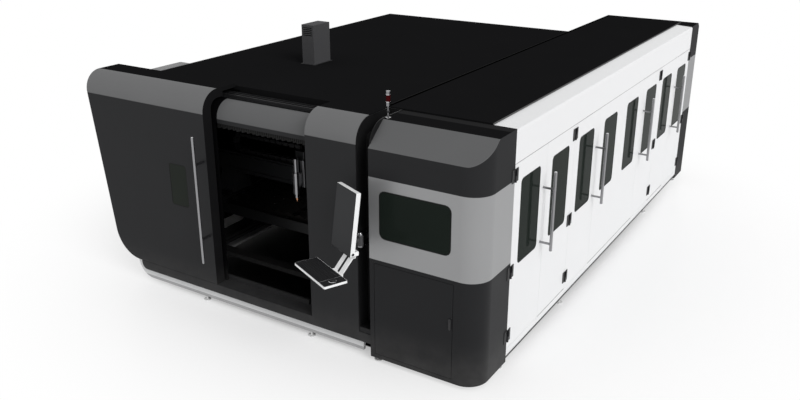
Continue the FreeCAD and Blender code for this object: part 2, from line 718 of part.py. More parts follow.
def exhaust_duct():
    left = LEFT + DUCT_LEFT
    right = left + DUCT_WIDTH
    rear = DUCT_FRONT + DUCT_DEPTH
    top = ROOF_TOP + DUCT_HEIGHT
    tube = block(left, right, DUCT_FRONT, rear, ROOF_TOP, top)
    foot = block(left - DUCT_FLANGE, right + DUCT_FLANGE, DUCT_FRONT - DUCT_FLANGE,
                 rear + DUCT_FLANGE, ROOF_TOP, ROOF_TOP + 3)
    hollow = block(left + DUCT_WALL, right - DUCT_WALL, DUCT_FRONT + DUCT_WALL,
                   rear - DUCT_WALL, ROOF_TOP - 1, top - DUCT_WALL)
    duct = fused([tube, foot]).cut(hollow)
    for louvre in range(DUCT_LOUVRES):
        low = top - 2 * DUCT_WALL - LOUVRE_PITCH * (louvre + 1)
        duct = duct.cut(block(left + LOUVRE_PITCH, right - LOUVRE_PITCH, DUCT_FRONT - 1,
                              DUCT_FRONT + DUCT_WALL + 1, low, low + LOUVRE_PITCH / 2))
    save("exhaust_duct", duct)


# ---- front --------------------------------------------------------------------------
def header_hood():
    # inner shell with the doorway cut out; its top runs back and up under the roof
    band = along_x(hood_band(HEADER_FACE, HEADER_TOP, HEADER_RADIUS, HEADER_SHEET, LEDGE_TOP,
                             ROOF_FRONT + PLATE), LEFT + SKIN, 0)
    riser = block(ROOF_LEFT, 0, ROOF_FRONT, ROOF_FRONT + PLATE, HEADER_TOP - HEADER_SHEET,
                  ROOF_LOW)
    doorway = block(DOORWAY_LEFT, -PANEL_WIDTH, 0, HEADER_FACE + SKIN, 0, DOORWAY_TOP)
    save("header_hood", fused([band, riser]).cut(doorway))


def track_ribs():
    return [TRACK_FRONT + rib * TRACK_PITCH for rib in range(TRACK_RIBS)]


def door_track():
    left = LEFT + SKIN
    right = -PANEL_WIDTH - DOOR_GAP
    first = track_ribs()[0]
    last = track_ribs()[-1] + TRACK_RIB
    pieces = [block(left, right, first - TRACK_RIB, last + TRACK_RIB, HEADER_TOP,
                    HEADER_TOP + ROOF_SHEET)]
    for y in track_ribs():
        pieces.append(block(left, right, y, y + TRACK_RIB, HEADER_TOP,
                            HEADER_TOP + ROOF_SHEET + TRACK_HEIGHT))
    save("door_track", fused(pieces))


def front_skirt():
    left = LEFT + SKIRT_LEFT
    right = GROOVE_WIDTH - SEAM
    corner = left + SKIRT_CORNER
    face = along_y([
        (corner, SKIRT_LOW), (right, SKIRT_LOW), (right, LEDGE_TOP), (left, LEDGE_TOP),
        (left, SKIRT_LOW + SKIRT_CORNER),
        (round_mid(corner, SKIRT_LOW + SKIRT_CORNER, SKIRT_CORNER, -1, -1),
         (corner, SKIRT_LOW))], 0, CASING_SET)
    ledge = block(left, right, 0, SILL_BACK + SILL_WIDTH, SKIRT_TOP, LEDGE_TOP)
    sill_right = -PANEL_WIDTH - SILL_BACK
    sill = block(sill_right - SILL_RUN, sill_right, SILL_BACK, SILL_BACK + SILL_WIDTH,
                 SKIRT_TOP, LEDGE_TOP + SILL_HEIGHT)
    return [face, ledge, sill]


def right_front_panel():
    prism = block(-PANEL_WIDTH, 0, -1, HOOD_DEPTH, LEDGE_TOP, HOOD_TOP)
    inset = block(-PANEL_WIDTH + SKIN, -SKIN, SKIN, HOOD_DEPTH, LEDGE_TOP + SKIN, HOOD_TOP)
    pan = hood_pan(prism, inset, -PANEL_WIDTH, 0, LEDGE_TOP, HEADER_FACE)
    save("right_front_panel", fused([pan] + front_skirt()))


def groove_channel():
    lip = GROOVE_LIP
    top = HOOD_TOP - lip
    radius = HOOD_RADIUS - lip
    depth = GROOVE_BACK - lip
    shell = along_x(hood_band(lip, top, radius, depth + GROOVE_WALL, LEDGE_TOP, CHANNEL_END),
                    0, GROOVE_WIDTH)
    room = along_x(hood_band(lip - 1, top + 1, radius + 1, depth + 1, GROOVE_SILL,
                             CHANNEL_END - GROOVE_WALL),
                   CHEEK_SHEET, GROOVE_WIDTH - CHEEK_SHEET)
    save("groove_channel", shell.cut(room))


# ---- sliding door -------------------------------------------------------------------
def door_outline(inset):
    # front view: raked left edge, large lower left corner, square right end
    rake = math.radians(DOOR_RAKE)
    radius = DOOR_CORNER - inset
    low = DOOR_LOW + inset
    right = DOOR_RIGHT - inset
    # the raked edge passes the door's top left corner; inset moves it square to itself
    foot_x = DOOR_LEFT + inset / math.cos(rake)
    side = (math.cos(rake), math.sin(rake))
    centre_z = low + radius
    centre_x = foot_x + (HOOD_TOP - centre_z) * math.tan(rake) + radius / math.cos(rake)
    start = (centre_x - radius * side[0], centre_z - radius * side[1])
    half = (math.pi / 2 - rake) / 2 + rake
    through = (centre_x - radius * math.cos(half), centre_z - radius * math.sin(half))
    return [(foot_x, HOOD_TOP + 1), start, (through, (centre_x, low)), (right, low),
            (right, HOOD_TOP + 1)]


def window_box():
    right = DOOR_RIGHT - WINDOW_RIGHT
    return (right - WINDOW_WIDTH, right, WINDOW_LOW, WINDOW_LOW + WINDOW_HEIGHT, WINDOW_CORNER)


def sliding_door():
    outer = along_y(door_outline(0), -1, HOOD_DEPTH)
    inset = along_y(door_outline(SKIN), SKIN, HOOD_DEPTH)
    shell = hood_pan(outer, inset, DOOR_LEFT - 1, DOOR_RIGHT, DOOR_LOW, FLANGE_DEPTH)
    save("sliding_door_shell", shell.cut(glass_pocket_y(*window_box(), 0, SKIN)))
    save("sliding_door_window", glass_pane_y(*window_box(), 0))
    bar_x = DOOR_RIGHT - HANDLE_INSET
    handle = [rod_z(bar_x, -HANDLE_STAND, HANDLE_LOW, HANDLE_LOW + HANDLE_LENGTH, HANDLE_RADIUS)]
    for level in HANDLE_POSTS:
        handle.append(block(bar_x - HANDLE_POST, bar_x + HANDLE_POST, -HANDLE_STAND, 0,
                            level - HANDLE_POST, level + HANDLE_POST))
    save("sliding_door_handle", fused(handle))
    save("sliding_door_shoes", Part.makeCompound([door_shoe(shift) for shift in SHOE_OFFSETS]))


def door_shoe(shift):
    # slides along the front rib of the track and carries the door's crown
    rib = track_ribs()[0]
    middle = rib + TRACK_RIB / 2
    rib_top = HEADER_TOP + ROOF_SHEET + TRACK_HEIGHT
    x1 = DOOR_RIGHT - shift
    body = block(x1 - SHOE_LENGTH, x1, middle - SHOE_WIDTH / 2, middle + SHOE_WIDTH / 2,
                 rib_top - SHOE_GRIP, HOOD_TOP - SKIN)
    slot = block(x1 - SHOE_LENGTH, x1, rib - RUN_CLEAR, rib + TRACK_RIB + RUN_CLEAR,
                 rib_top - SHOE_GRIP, rib_top + RUN_CLEAR)
    return body.cut(slot)


# ---- booth --------------------------------------------------------------------------
def cabinet_outline(inset):
    left = CAB_LEFT + inset
    right = CAB_RIGHT - inset
    front = CAB_FRONT + inset
    radius = CAB_CORNER - inset
    return [
        (left, SIDE_FRONT - inset), (left, front), (right - radius, front),
        (round_mid(right - radius, front + radius, radius, 1, -1), (right, front + radius)),
        (right, SIDE_FRONT - inset)]


def chamfer_cutter(inset):
    # removes everything in front of the sloping top of the cabinet's face
    low = CHAMFER_LOW - inset
    top = CAB_TOP + 1
    rise = CAB_TOP - CHAMFER_LOW
    run = CHAMFER_BACK * (top - low) / rise
    return along_x([(CAB_FRONT, low), (CAB_FRONT + run, top), (CAB_FRONT - 1, top),
                    (CAB_FRONT - 1, low)], CAB_LEFT - 1, CAB_RIGHT + 1)


def cabinet_tier(low, high, floor, deck):
    # one tier of the cabinet's casing: a closed ring of walls with a floor or a deck
    body = along_z(cabinet_outline(0), low, high)
    room = along_z(cabinet_outline(CAB_WALL), low + floor, high - deck)
    return body, room


def cabinet_view():
    left = CAB_LEFT + VIEW_LEFT
    return (left, left + VIEW_WIDTH, VIEW_LOW, VIEW_LOW + VIEW_HEIGHT, VIEW_CORNER)


def front_cabinet():
    body, room = cabinet_tier(BAND_HIGH, CAB_TOP, 0, CAB_WALL)
    room = room.cut(chamfer_cutter(CAB_WALL * 1.2))
    save("front_cabinet_upper", body.cut(chamfer_cutter(0)).cut(room))
    body, room = cabinet_tier(BAND_LOW, BAND_HIGH, 0, 0)
    pocket = glass_pocket_y(*cabinet_view(), CAB_FRONT, CAB_WALL)
    save("front_cabinet_band", body.cut(room).cut(pocket))


def cabinet_lower():
    body, room = cabinet_tier(FOOT_GAP, BAND_LOW, CAB_WALL, CAB_WALL)
    x0 = CAB_LEFT + DOOR_LEFT_POST
    x1 = x0 + CAB_DOOR_WIDTH
    back = CAB_FRONT + CAB_WALL
    mouth = block(x0, x1, CAB_FRONT - 1, back + 1, CAB_DOOR_LOW, CAB_DOOR_TOP)
    strip = block(x1 - LOCK_INSET / 2 + SEAM, x1 + CAB_WALL, back, back + STOP_STRIP,
                  CAB_DOOR_LOW - CAB_WALL, CAB_DOOR_TOP + CAB_WALL)
    pins = []
    for z in (CAB_DOOR_LOW, CAB_DOOR_TOP - CAB_PIN_LENGTH):
        pins.append(along_z(flats(*cabinet_pivot(), CAB_PIN, PIN_SIDES), z,
                            z + CAB_PIN_LENGTH))
    save("front_cabinet_lower", fused([body.cut(room).cut(mouth), strip] + pins))


def cabinet_pivot():
    return (CAB_LEFT + DOOR_LEFT_POST + SEAM + CAB_PIVOT_X, CAB_FRONT + CAB_PIVOT_Y)


def lock_axis_x():
    return CAB_LEFT + DOOR_LEFT_POST + CAB_DOOR_WIDTH - LOCK_INSET


def cabinet_door():
    x0 = CAB_LEFT + DOOR_LEFT_POST + SEAM
    x1 = x0 + CAB_DOOR_WIDTH - 2 * SEAM
    low = CAB_DOOR_LOW + SEAM
    top = CAB_DOOR_TOP - SEAM
    panel = block(x0, x1, CAB_FRONT, CAB_FRONT + CAB_DOOR_THICK, low, top)
    depth = CAB_PIN_LENGTH - SEAM + 1
    for z in (low, top - depth):
        bore = bore_flats(*cabinet_pivot(), CAB_PIN + PIN_CLEAR, PIN_SIDES)
        panel = panel.cut(along_z(bore, z, z + depth))
    bore = bore_flats(lock_axis_x(), LOCK_MIDDLE, LOCK_SHAFT + PIN_CLEAR, PIN_SIDES)
    panel = panel.cut(along_y(bore, CAB_FRONT - 1, CAB_FRONT + CAB_DOOR_THICK + 1))
    save("cabinet_door", panel)


def cabinet_lock():
    # upright oval knob, its shaft and, behind the door, the cam that hangs down when open
    x = lock_axis_x()
    face = CAB_FRONT - RUN_CLEAR
    half = LOCK_WIDTH / 2
    knob = along_y(clipped(x - half, x + half, LOCK_MIDDLE - LOCK_HEIGHT / 2,
                           LOCK_MIDDLE + LOCK_HEIGHT / 2, half / 2), face - LOCK_THICK, face)
    cam_front = CAB_FRONT + CAB_WALL + STOP_STRIP + CAM_GAP
    cam_back = cam_front + STOP_STRIP
    shaft = along_y(flats(x, LOCK_MIDDLE, LOCK_SHAFT, PIN_SIDES), face - 1, cam_back)
    cam = block(x - LOCK_SHAFT, x + LOCK_SHAFT, cam_front, cam_back, LOCK_MIDDLE - CAM_REACH,
                LOCK_MIDDLE)
    save("cabinet_lock", fused([knob, shaft, cam]))


def rear_cabinet():
    body, room = cabinet_tier(FOOT_GAP, CAB_TOP, CAB_WALL, CAB_WALL)
    room = room.cut(chamfer_cutter(CAB_WALL * 1.2))
    middle = (CAB_LEFT + CAB_RIGHT) / 2
    inner = CAB_FRONT + CAB_DEPTH
    port = block(middle - CABLE_PORT_WIDTH / 2, middle + CABLE_PORT_WIDTH / 2,
                 inner - CAB_WALL - 1, inner + 1, CABLE_PORT_LOW,
                 CABLE_PORT_LOW + CABLE_PORT_HEIGHT)
    front = body.cut(chamfer_cutter(0)).cut(room).cut(port)
    save("rear_cabinet", front.mirror(vec(0, SIDE_MIDDLE, 0), vec(0, 1, 0)))


def laser_source():
    x0 = CAB_LEFT + 4 * CAB_WALL
    y0 = CAB_FRONT + 4 * CAB_WALL
    low = FOOT_GAP + CAB_WALL
    body = along_z(rounded(x0, x0 + SOURCE_WIDTH, y0, y0 + SOURCE_DEPTH, CAB_WALL), low,
                   low + SOURCE_HEIGHT)
    save("laser_source", body)


def booth_top_band():
    # pale top strip that folds down into the head of the side
    fold = CAB_TOP - STRIP_FALL
    inner = CAB_RIGHT - SIDE_WALL
    left = ROOF_EDGE - STRIP_LAP
    centre = CAB_RIGHT - STRIP_ROUND
    steps = [
        (CAB_RIGHT, SIDE_SEAM), (CAB_RIGHT, fold - STRIP_ROUND),
        (round_mid(centre, fold - STRIP_ROUND, STRIP_ROUND, 1, 1), (centre, fold)),
        (ROOF_EDGE, CAB_TOP), (left, CAB_TOP), (left, CAB_TOP - STRIP_SHEET),
        (inner, fold - STRIP_SHEET), (inner, SIDE_SEAM)]
    save("booth_top_band", along_y(steps, SIDE_FRONT, SIDE_REAR))


def door_span(line, way):
    near = line + way * SEAM / 2
    far = line + way * (SIDE_DOOR_WIDTH - SEAM / 2)
    return min(near, far), max(near, far)


def side_frame():
    # one folded frame: fixed panels, the sills below the doors and the stops behind them
    low = FOOT_GAP
    face = CAB_RIGHT
    back = face - SIDE_WALL
    outer = block(back, face, SIDE_FRONT, SIDE_REAR, low, SIDE_SEAM)
    stop = block(back - SIDE_STOP, back, SIDE_FRONT, SIDE_REAR, low, SIDE_SEAM)
    frame = fused([outer, stop])
    for name, line, way in SIDE_DOORS:
        y0, y1 = door_span(line, way)
        gap = SEAM / 2
        frame = frame.cut(block(back, face + 1, y0 - gap, y1 + gap, SIDE_DOOR_LOW - SEAM,
                                SIDE_SEAM))
        frame = frame.cut(block(back - SIDE_STOP - 1, back + 1, y0 + SIDE_REVEAL,
                                y1 - SIDE_REVEAL, SIDE_DOOR_LOW + SIDE_REVEAL,
                                SIDE_SEAM - SIDE_REVEAL))
    for shift in FIXED_GLASS:
        middle = SIDE_MIDDLE + shift
        half = SIDE_GLASS_WIDTH / 2 + SIDE_REVEAL
        frame = frame.cut(glass_pocket_x(middle, face, SIDE_WALL))
        frame = frame.cut(block(back - SIDE_STOP - 1, back, middle - half, middle + half,
                                SIDE_GLASS_LOW - SIDE_REVEAL,
                                SIDE_GLASS_LOW + SIDE_GLASS_HEIGHT + SIDE_REVEAL))
    toe = block(face - TOE_SET, face + 1, SIDE_FRONT - 1, SIDE_REAR + 1, low - 1,
                low + TOE_HEIGHT)
    kick = block(face - SEAM_DEPTH, face + 1, SIDE_FRONT - 1, SIDE_REAR + 1, KICK_SEAM,
                 KICK_SEAM + SEAM)
    save("side_frame", frame.cut(toe).cut(kick))
    panes = [glass_pane_x(SIDE_MIDDLE + shift, face) for shift in FIXED_GLASS]
    panes.append(glass_pane_y(*cabinet_view(), CAB_FRONT))
    save("side_panes", Part.makeCompound(panes))


def barrel(line, z0, z1):
    return along_z(flats(hinge_axis_x(), line, HINGE_BARREL, HINGE_SIDES), z0, z1)


def hinge_axis_x():
    return CAB_RIGHT + HINGE_BARREL


def leaf_start():
    # a leaf begins clear of the other half's knuckles
    return HINGE_BARREL + HINGE_GAP


def door_hinges():
    # fixed halves of the lift-off hinges: a leaf, the lower barrel and the pin that rises
    # from it into the door's barrel
    halves = []
    for name, line, way in SIDE_DOORS:
        y0, y1 = sorted((line - way * leaf_start(), line - way * HINGE_LEAF))
        neck = sorted((line, line - way * (leaf_start() + 1)))
        for low in HINGE_LEVELS:
            top = low + HINGE_HEIGHT
            middle = low + HINGE_HEIGHT / 2 - HINGE_GAP
            halves.append(fused([
                block(CAB_RIGHT, CAB_RIGHT + HINGE_PLATE, y0, y1, low, top),
                block(CAB_RIGHT, CAB_RIGHT + HINGE_PLATE, *neck, low, middle),
                barrel(line, low, middle),
                along_z(flats(hinge_axis_x(), line, HINGE_PIN, PIN_SIDES), middle, top)]))
    save("door_hinges", Part.makeCompound(halves))


def moving_leaves(line, way):
    leaves = []
    y0, y1 = sorted((line + way * leaf_start(), line + way * HINGE_LEAF))
    neck = sorted((line, line + way * (leaf_start() + 1)))
    for low in HINGE_LEVELS:
        top = low + HINGE_HEIGHT
        middle = low + HINGE_HEIGHT / 2
        leaves.append(block(CAB_RIGHT, CAB_RIGHT + HINGE_PLATE, y0, y1, low, top))
        leaves.append(block(CAB_RIGHT, CAB_RIGHT + HINGE_PLATE, *neck, middle, top))
        leaves.append(barrel(line, middle, top))
    return leaves


def side_door(name, line, way):
    face = CAB_RIGHT
    y0, y1 = door_span(line, way)
    low = SIDE_DOOR_LOW
    top = SIDE_SEAM - SEAM
    rim = SIDE_DOOR_RIM
    panel = block(face - SIDE_DOOR_THICK, face, y0, y1, low, top)
    panel = panel.cut(block(face - SIDE_DOOR_THICK - 1, face - SIDE_DOOR_SKIN, y0 + rim,
                            y1 - rim, low + rim, top - rim))
    middle = (y0 + y1) / 2
    panel = panel.cut(glass_pocket_x(middle, face, SIDE_DOOR_THICK))
    seam = block(face - SEAM_DEPTH, face + 1, y0 - 1, y1 + 1, KICK_SEAM, KICK_SEAM + SEAM)
    panel = fused([panel.cut(seam)] + moving_leaves(line, way))
    for level in HINGE_LEVELS:
        bore = bore_flats(hinge_axis_x(), line, HINGE_PIN + PIN_CLEAR, PIN_SIDES)
        panel = panel.cut(along_z(bore, level - 1, level + HINGE_HEIGHT + 1))
    save(name + "_panel", panel)
    save(name + "_pane", glass_pane_x(middle, face))
    bar_y = line + way * (SIDE_DOOR_WIDTH - GRIP_INSET)
    bar_x = face + GRIP_STAND
    pieces = [along_z(bore_flats(bar_x, bar_y, HANDLE_RADIUS, GRIP_SIDES), GRIP_LOW,
                      GRIP_LOW + GRIP_LENGTH)]
    for post in GRIP_POSTS:
        pieces.append(block(face, bar_x, bar_y - HANDLE_POST, bar_y + HANDLE_POST,
                            post - HANDLE_POST, post + HANDLE_POST))
    save(name + "_handle", fused(pieces))


def stack_light():
    x = CAB_LEFT + LAMP_X
    y = CAB_FRONT + LAMP_Y
    stem = CAB_TOP + LAMP_FOOT_HEIGHT
    cup = stem + LAMP_STEM_HEIGHT
    lens = cup + LAMP_CUP
    cap = lens + LAMP_LENS
    post = fused([
        along_z(flats(x, y, LAMP_FOOT, LAMP_SIDES), CAB_TOP, stem),
        along_z(flats(x, y, LAMP_STEM, PIN_SIDES), stem, cup),
        along_z(flats(x, y, LAMP_RADIUS, LAMP_SIDES), cup, lens)])
    lid = along_z(flats(x, y, LAMP_RADIUS, LAMP_SIDES), cap, cap + LAMP_CAP)
    save("stack_light_base", Part.makeCompound([post, lid]))
    save("stack_light_lens", along_z(flats(x, y, LAMP_RADIUS - 1, LAMP_SIDES), lens, cap))


# ---- operator panel -----------------------------------------------------------------
def turned(shape):
    # from square on, with the swivel at the origin, to its place beside the groove
    placed = shape.copy()
    placed.rotate(vec(0, 0, 0), vec(0, 0, 1), ARM_YAW)
    placed.translate(vec(ARM_X, ARM_Y, 0))
    return placed


def leaned(shape):
    placed = shape.copy()
    placed.rotate(vec(0, -TILT_REACH, TILT_LEVEL), vec(1, 0, 0), -SCREEN_LEAN)
    return turned(placed)


def hmi_bracket():
    top = BRACKET_LOW + BRACKET_HEIGHT
    half = LUG_WIDTH / 2
    pieces = [block(ARM_X - half, ARM_X + half, GROOVE_BACK - LUG, GROOVE_BACK, BRACKET_LOW, top)]
    for z in (BRACKET_LOW, top - LUG):
        lug = along_z([
            (ARM_X + half, GROOVE_BACK - LUG), (ARM_X - half, GROOVE_BACK - LUG),
            (ARM_X - BOSS_RADIUS, ARM_Y), ((ARM_X, ARM_Y - BOSS_RADIUS),
                                           (ARM_X + BOSS_RADIUS, ARM_Y))], z, z + LUG)
        pieces.append(lug)
    pieces.append(along_z(flats(ARM_X, ARM_Y, SWIVEL_PIN, PIN_SIDES), BRACKET_LOW, top))
    save("hmi_bracket", fused(pieces))


def tilt_span():
    half = SCREEN_WIDTH / 2 + RUN_CLEAR
    return SCREEN_SHIFT - half, SCREEN_SHIFT + half


def yoke_back():
    return -TILT_REACH + SCREEN_THICK / 2 + ARM_HEIGHT


def hmi_arm():
    low = BRACKET_LOW + LUG + RUN_CLEAR
    high = BRACKET_LOW + BRACKET_HEIGHT - LUG - RUN_CLEAR
    z0 = TILT_LEVEL - ARM_HEIGHT / 2
    z1 = TILT_LEVEL + ARM_HEIGHT / 2
    bar = yoke_back()
    left, right = tilt_span()
    pieces = [
        rod_z(0, 0, low, high, BOSS_RADIUS),
        block(-ARM_WIDTH / 2, ARM_WIDTH / 2, bar - YOKE_BAR / 2, 0, z0, z1),
        block(left - CHEEK, right + CHEEK, bar - YOKE_BAR, bar, z0, z1)]
    for x0 in (left - CHEEK, right):
        pieces.append(along_x([
            (bar, z0), (bar, z1), (-TILT_REACH, z1), (-TILT_REACH - ARM_HEIGHT / 2, TILT_LEVEL),
            (-TILT_REACH, z0)], x0, x0 + CHEEK))
    pin = flats(-TILT_REACH, TILT_LEVEL, TILT_PIN, PIN_SIDES)
    pieces.append(along_x(pin, left, left + TILT_DEPTH - 1))
    pieces.append(along_x(pin, right - TILT_DEPTH + 1, right))
    for shift in LINK_SHIFTS:
        pieces.append(tray_link(SCREEN_SHIFT + shift, bar, z0))
    arm = fused(pieces)
    bore = bore_flats(0, 0, SWIVEL_PIN + PIN_CLEAR, PIN_SIDES)
    arm = arm.cut(along_z(bore, low - 1, high + 1))
    bore = bore_flats(tray_axis_y(), TRAY_LEVEL, TRAY_PIN + PIN_CLEAR, PIN_SIDES)
    arm = arm.cut(along_x(bore, left, right))
    save("hmi_arm", turned(arm))


def tray_axis_y():
    return -TRAY_REACH + TRAY_HINGE


def tray_link(middle, bar, top):
    # bent strip: down from the yoke, forward below the monitor, then down to the tray
    thick = LINK_THICK
    back = bar - YOKE_BAR + thick
    elbow = -TILT_REACH + TILT_RISE / 2
    axis = tray_axis_y()
    run = math.hypot(elbow - axis, LINK_KNEE - TRAY_LEVEL)
    across = thick / 2
    off_y = across * (LINK_KNEE - TRAY_LEVEL) / run
    off_z = across * (elbow - axis) / run
    strip = along_x([
        (back, top), (back - thick, top), (back - thick, LINK_KNEE + thick),
        (elbow - off_y, LINK_KNEE + thick), (axis - off_y, TRAY_LEVEL + off_z),
        (axis + off_y, TRAY_LEVEL - off_z), (elbow + off_y, LINK_KNEE), (back, LINK_KNEE)],
        middle - LINK_WIDTH / 2, middle + LINK_WIDTH / 2)
    knuckle = along_x(flats(axis, TRAY_LEVEL, LINK_KNUCKLE, HINGE_SIDES),
                      middle - LINK_WIDTH / 2, middle + LINK_WIDTH / 2)
    return strip.fuse(knuckle)


def monitor():
    x0 = SCREEN_SHIFT - SCREEN_WIDTH / 2
    x1 = x0 + SCREEN_WIDTH
    z0 = TILT_LEVEL - TILT_RISE
    z1 = z0 + SCREEN_HEIGHT
    front = -TILT_REACH - SCREEN_THICK / 2
    back = front + SCREEN_THICK
    case = along_y(rounded(x0, x1, z0, z1, 2 * SCREEN_RIM), front, back)
    rim = SCREEN_RIM
    recess = block(x0 + rim, x1 - rim, front - 1, front + SCREEN_GLASS, z0 + rim, z1 - rim)
    case = case.cut(recess)
    for end in (x0 - 1, x1 + 1 - TILT_DEPTH):
        bore = bore_flats(-TILT_REACH, TILT_LEVEL, TILT_PIN + PIN_CLEAR, PIN_SIDES)
        case = case.cut(along_x(bore, end, end + TILT_DEPTH))
    save("monitor_housing", leaned(case))
    gap = rim + PANE_CLEAR
    glass = block(x0 + gap, x1 - gap, front, front + SCREEN_GLASS, z0 + gap, z1 - gap)
    save("monitor_screen", leaned(glass))


def keyboard_tray():
    x0 = SCREEN_SHIFT - TRAY_WIDTH / 2
    x1 = x0 + TRAY_WIDTH
    back = -TRAY_REACH
    front = back - TRAY_DEPTH
    low = TRAY_LEVEL - TRAY_THICK / 2
    top = TRAY_LEVEL + TRAY_THICK / 2
    pieces = [along_z(rounded(x0, x1, front, back, TRAY_CORNER), low, top)]
    axis = tray_axis_y()
    for shift in LINK_SHIFTS:
        middle = SCREEN_SHIFT + shift
        reach = LINK_WIDTH / 2 + RUN_CLEAR
        for side in (-1, 1):
            lug_x = sorted((middle + side * reach, middle + side * (reach + CHEEK)))
            pieces.append(block(*lug_x, back - 1, axis, TRAY_LEVEL - LINK_KNUCKLE,
                                TRAY_LEVEL + LINK_KNUCKLE))
            pieces.append(along_x(flats(axis, TRAY_LEVEL, LINK_KNUCKLE, HINGE_SIDES), *lug_x))
        pieces.append(along_x(flats(axis, TRAY_LEVEL, TRAY_PIN, PIN_SIDES),
                              middle - reach - CHEEK, middle + reach + CHEEK))
    tray = fused(pieces)
    keys = (x0 + KEYPAD_LEFT, x0 + KEYPAD_LEFT + KEYPAD_WIDTH)
    rows = (front + (TRAY_DEPTH - KEYPAD_DEPTH) / 2, back - (TRAY_DEPTH - KEYPAD_DEPTH) / 2)
    gap = PANE_CLEAR
    tray = tray.cut(block(keys[0] - gap, keys[1] + gap, rows[0] - gap, rows[1] + gap,
                          top - KEYPAD_SINK, top + 1))
    button_x = x1 - BUTTON_INSET
    button_y = (front + back) / 2
    bore = bore_flats(button_x, button_y, BUTTON_STEM + PIN_CLEAR, PIN_SIDES)
    tray = tray.cut(along_z(bore, low - 1, top + 1))
    save("keyboard_tray", turned(tray))
    save("keypad", turned(keypad(keys, rows, top - KEYPAD_SINK)))
    rise = top + BUTTON_RISE
    knob = fused([along_z(flats(button_x, button_y, BUTTON_STEM, PIN_SIDES), low, rise),
                  along_z(flats(button_x, button_y, BUTTON_RADIUS, BUTTON_SIDES), rise,
                          rise + BUTTON_THICK)])
    save("push_button", turned(knob))


def keypad(keys, rows, low):
    # one moulded mat with four shallow rows of keys
    mat = block(*keys, *rows, low, low + KEYPAD_SINK + 1)
    pitch = (rows[1] - rows[0]) / 4
    pieces = [mat]
    for row in range(4):
        y0 = rows[0] + row * pitch + 4
        pieces.append(block(keys[0] + 5, keys[1] - 5, y0, y0 + pitch - 8,
                            low + KEYPAD_SINK, low + KEYPAD_THICK))
    return fused(pieces)


# ---- bed, gantry and head -----------------------------------------------------------
def bed_frame():
    rear = BED_FRONT + BED_LENGTH
    half = BED_BEAM / 2
    pieces = []
    for x in BED_X:
        beam = block(x - half, x + half, BED_FRONT, rear, BED_LOW, BED_TOP)
        beam = beam.cut(block(x - half + BED_WALL, x + half - BED_WALL, BED_FRONT + BED_WALL,
                              rear - BED_WALL, BED_LOW + BED_WALL, BED_TOP - BED_WALL))
        middle_z = (RUNNER_LEVEL + RUNNER + COMB_LOW) / 2
        for port in range(BED_PORTS):
            y = BED_FRONT + (port + 0.5) * BED_LENGTH / BED_PORTS
            beam = beam.cut(along_x(clipped(y - PORT_WIDTH / 2, y + PORT_WIDTH / 2,
                                            middle_z - PORT_HEIGHT / 2,
                                            middle_z + PORT_HEIGHT / 2, PORT_CORNER),
                                    x - half - 1, x + half + 1))
        pieces.append(beam)
        for y in bed_leg_rows():
            pieces.append(block(x - LEG / 2, x + LEG / 2, y - LEG / 2, y + LEG / 2, FOOT_GAP,
                                BED_LOW))
    for y in bed_leg_rows():
        pieces.append(block(LEFT + SKIN, TUBE_X - TUBE_BED_WIDTH / 2, y - CROSS_WIDTH / 2,
                            y + CROSS_WIDTH / 2, CROSS_LOW, CROSS_LOW + CROSS_HEIGHT))
    for x0 in (BED_INNER_LEFT, BED_INNER_RIGHT - RUNNER):
        pieces.append(block(x0, x0 + RUNNER, BED_FRONT, rear, RUNNER_LEVEL,
                            RUNNER_LEVEL + RUNNER))
    save("bed_frame", fused(pieces))


def gantry_rails():
    pieces = []
    rear = BED_FRONT + BED_LENGTH
    for x in BED_X:
        pieces.append(block(x - RAIL_WIDTH / 2, x + RAIL_WIDTH / 2, BED_FRONT, rear, BED_TOP,
                            RAIL_TOP))
        pieces.append(block(x + RACK_SHIFT, x + RACK_SHIFT + RACK, BED_FRONT, rear, BED_TOP,
                            BED_TOP + RACK))
    save("gantry_rails", Part.makeCompound(pieces))


def saddle(x):
    # tapered end of the gantry that straddles one rail and clears its rack
    low = BED_TOP + SADDLE_LIFT
    half = BED_BEAM / 2
    foot = SADDLE_FOOT / 2
    head = BEAM_DEPTH / 2
    body = along_x([
        (GANTRY_Y - foot, low), (GANTRY_Y + foot, low), (GANTRY_Y + foot, low + PLATE * 4),
        (GANTRY_Y + head, BEAM_LOW + PLATE), (GANTRY_Y - head, BEAM_LOW + PLATE),
        (GANTRY_Y - foot, low + PLATE * 4)], x - half, x + half)
    grip = RAIL_WIDTH / 2 + RUN_CLEAR
    slot = block(x - grip, x + grip, GANTRY_Y - foot - 1, GANTRY_Y + foot + 1, low - 1,
                 RAIL_TOP + RUN_CLEAR)
    rack = block(x + RACK_SHIFT - SEAM, x + RACK_SHIFT + RACK + SEAM, GANTRY_Y - foot - 1,
                 GANTRY_Y + foot + 1, low - 1, BED_TOP + RACK + SEAM)
    return body.cut(slot).cut(rack)


def x_rail_levels():
    return (BEAM_LOW + X_RAIL_EDGE, BEAM_LOW + BEAM_HEIGHT - X_RAIL_EDGE - X_RAIL)


def gantry_beam():
    y0 = BEAM_FACE
    y1 = BEAM_FACE + BEAM_DEPTH
    top = BEAM_LOW + BEAM_HEIGHT
    tube = block(-GANTRY_LEFT, GANTRY_RIGHT, y0, y1, BEAM_LOW, top)
    tube = tube.cut(block(-GANTRY_LEFT - 1, GANTRY_RIGHT + 1, y0 + PLATE, y1 - PLATE,
                          BEAM_LOW + PLATE, top - PLATE))
    pieces = [tube]
    for z in x_rail_levels():
        pieces.append(block(-GANTRY_LEFT + SEAM, GANTRY_RIGHT - SEAM, y0 - X_RAIL_DEEP, y0, z,
                            z + X_RAIL))
    pieces += [saddle(x) for x in BED_X]
    save("gantry_beam", fused(pieces))


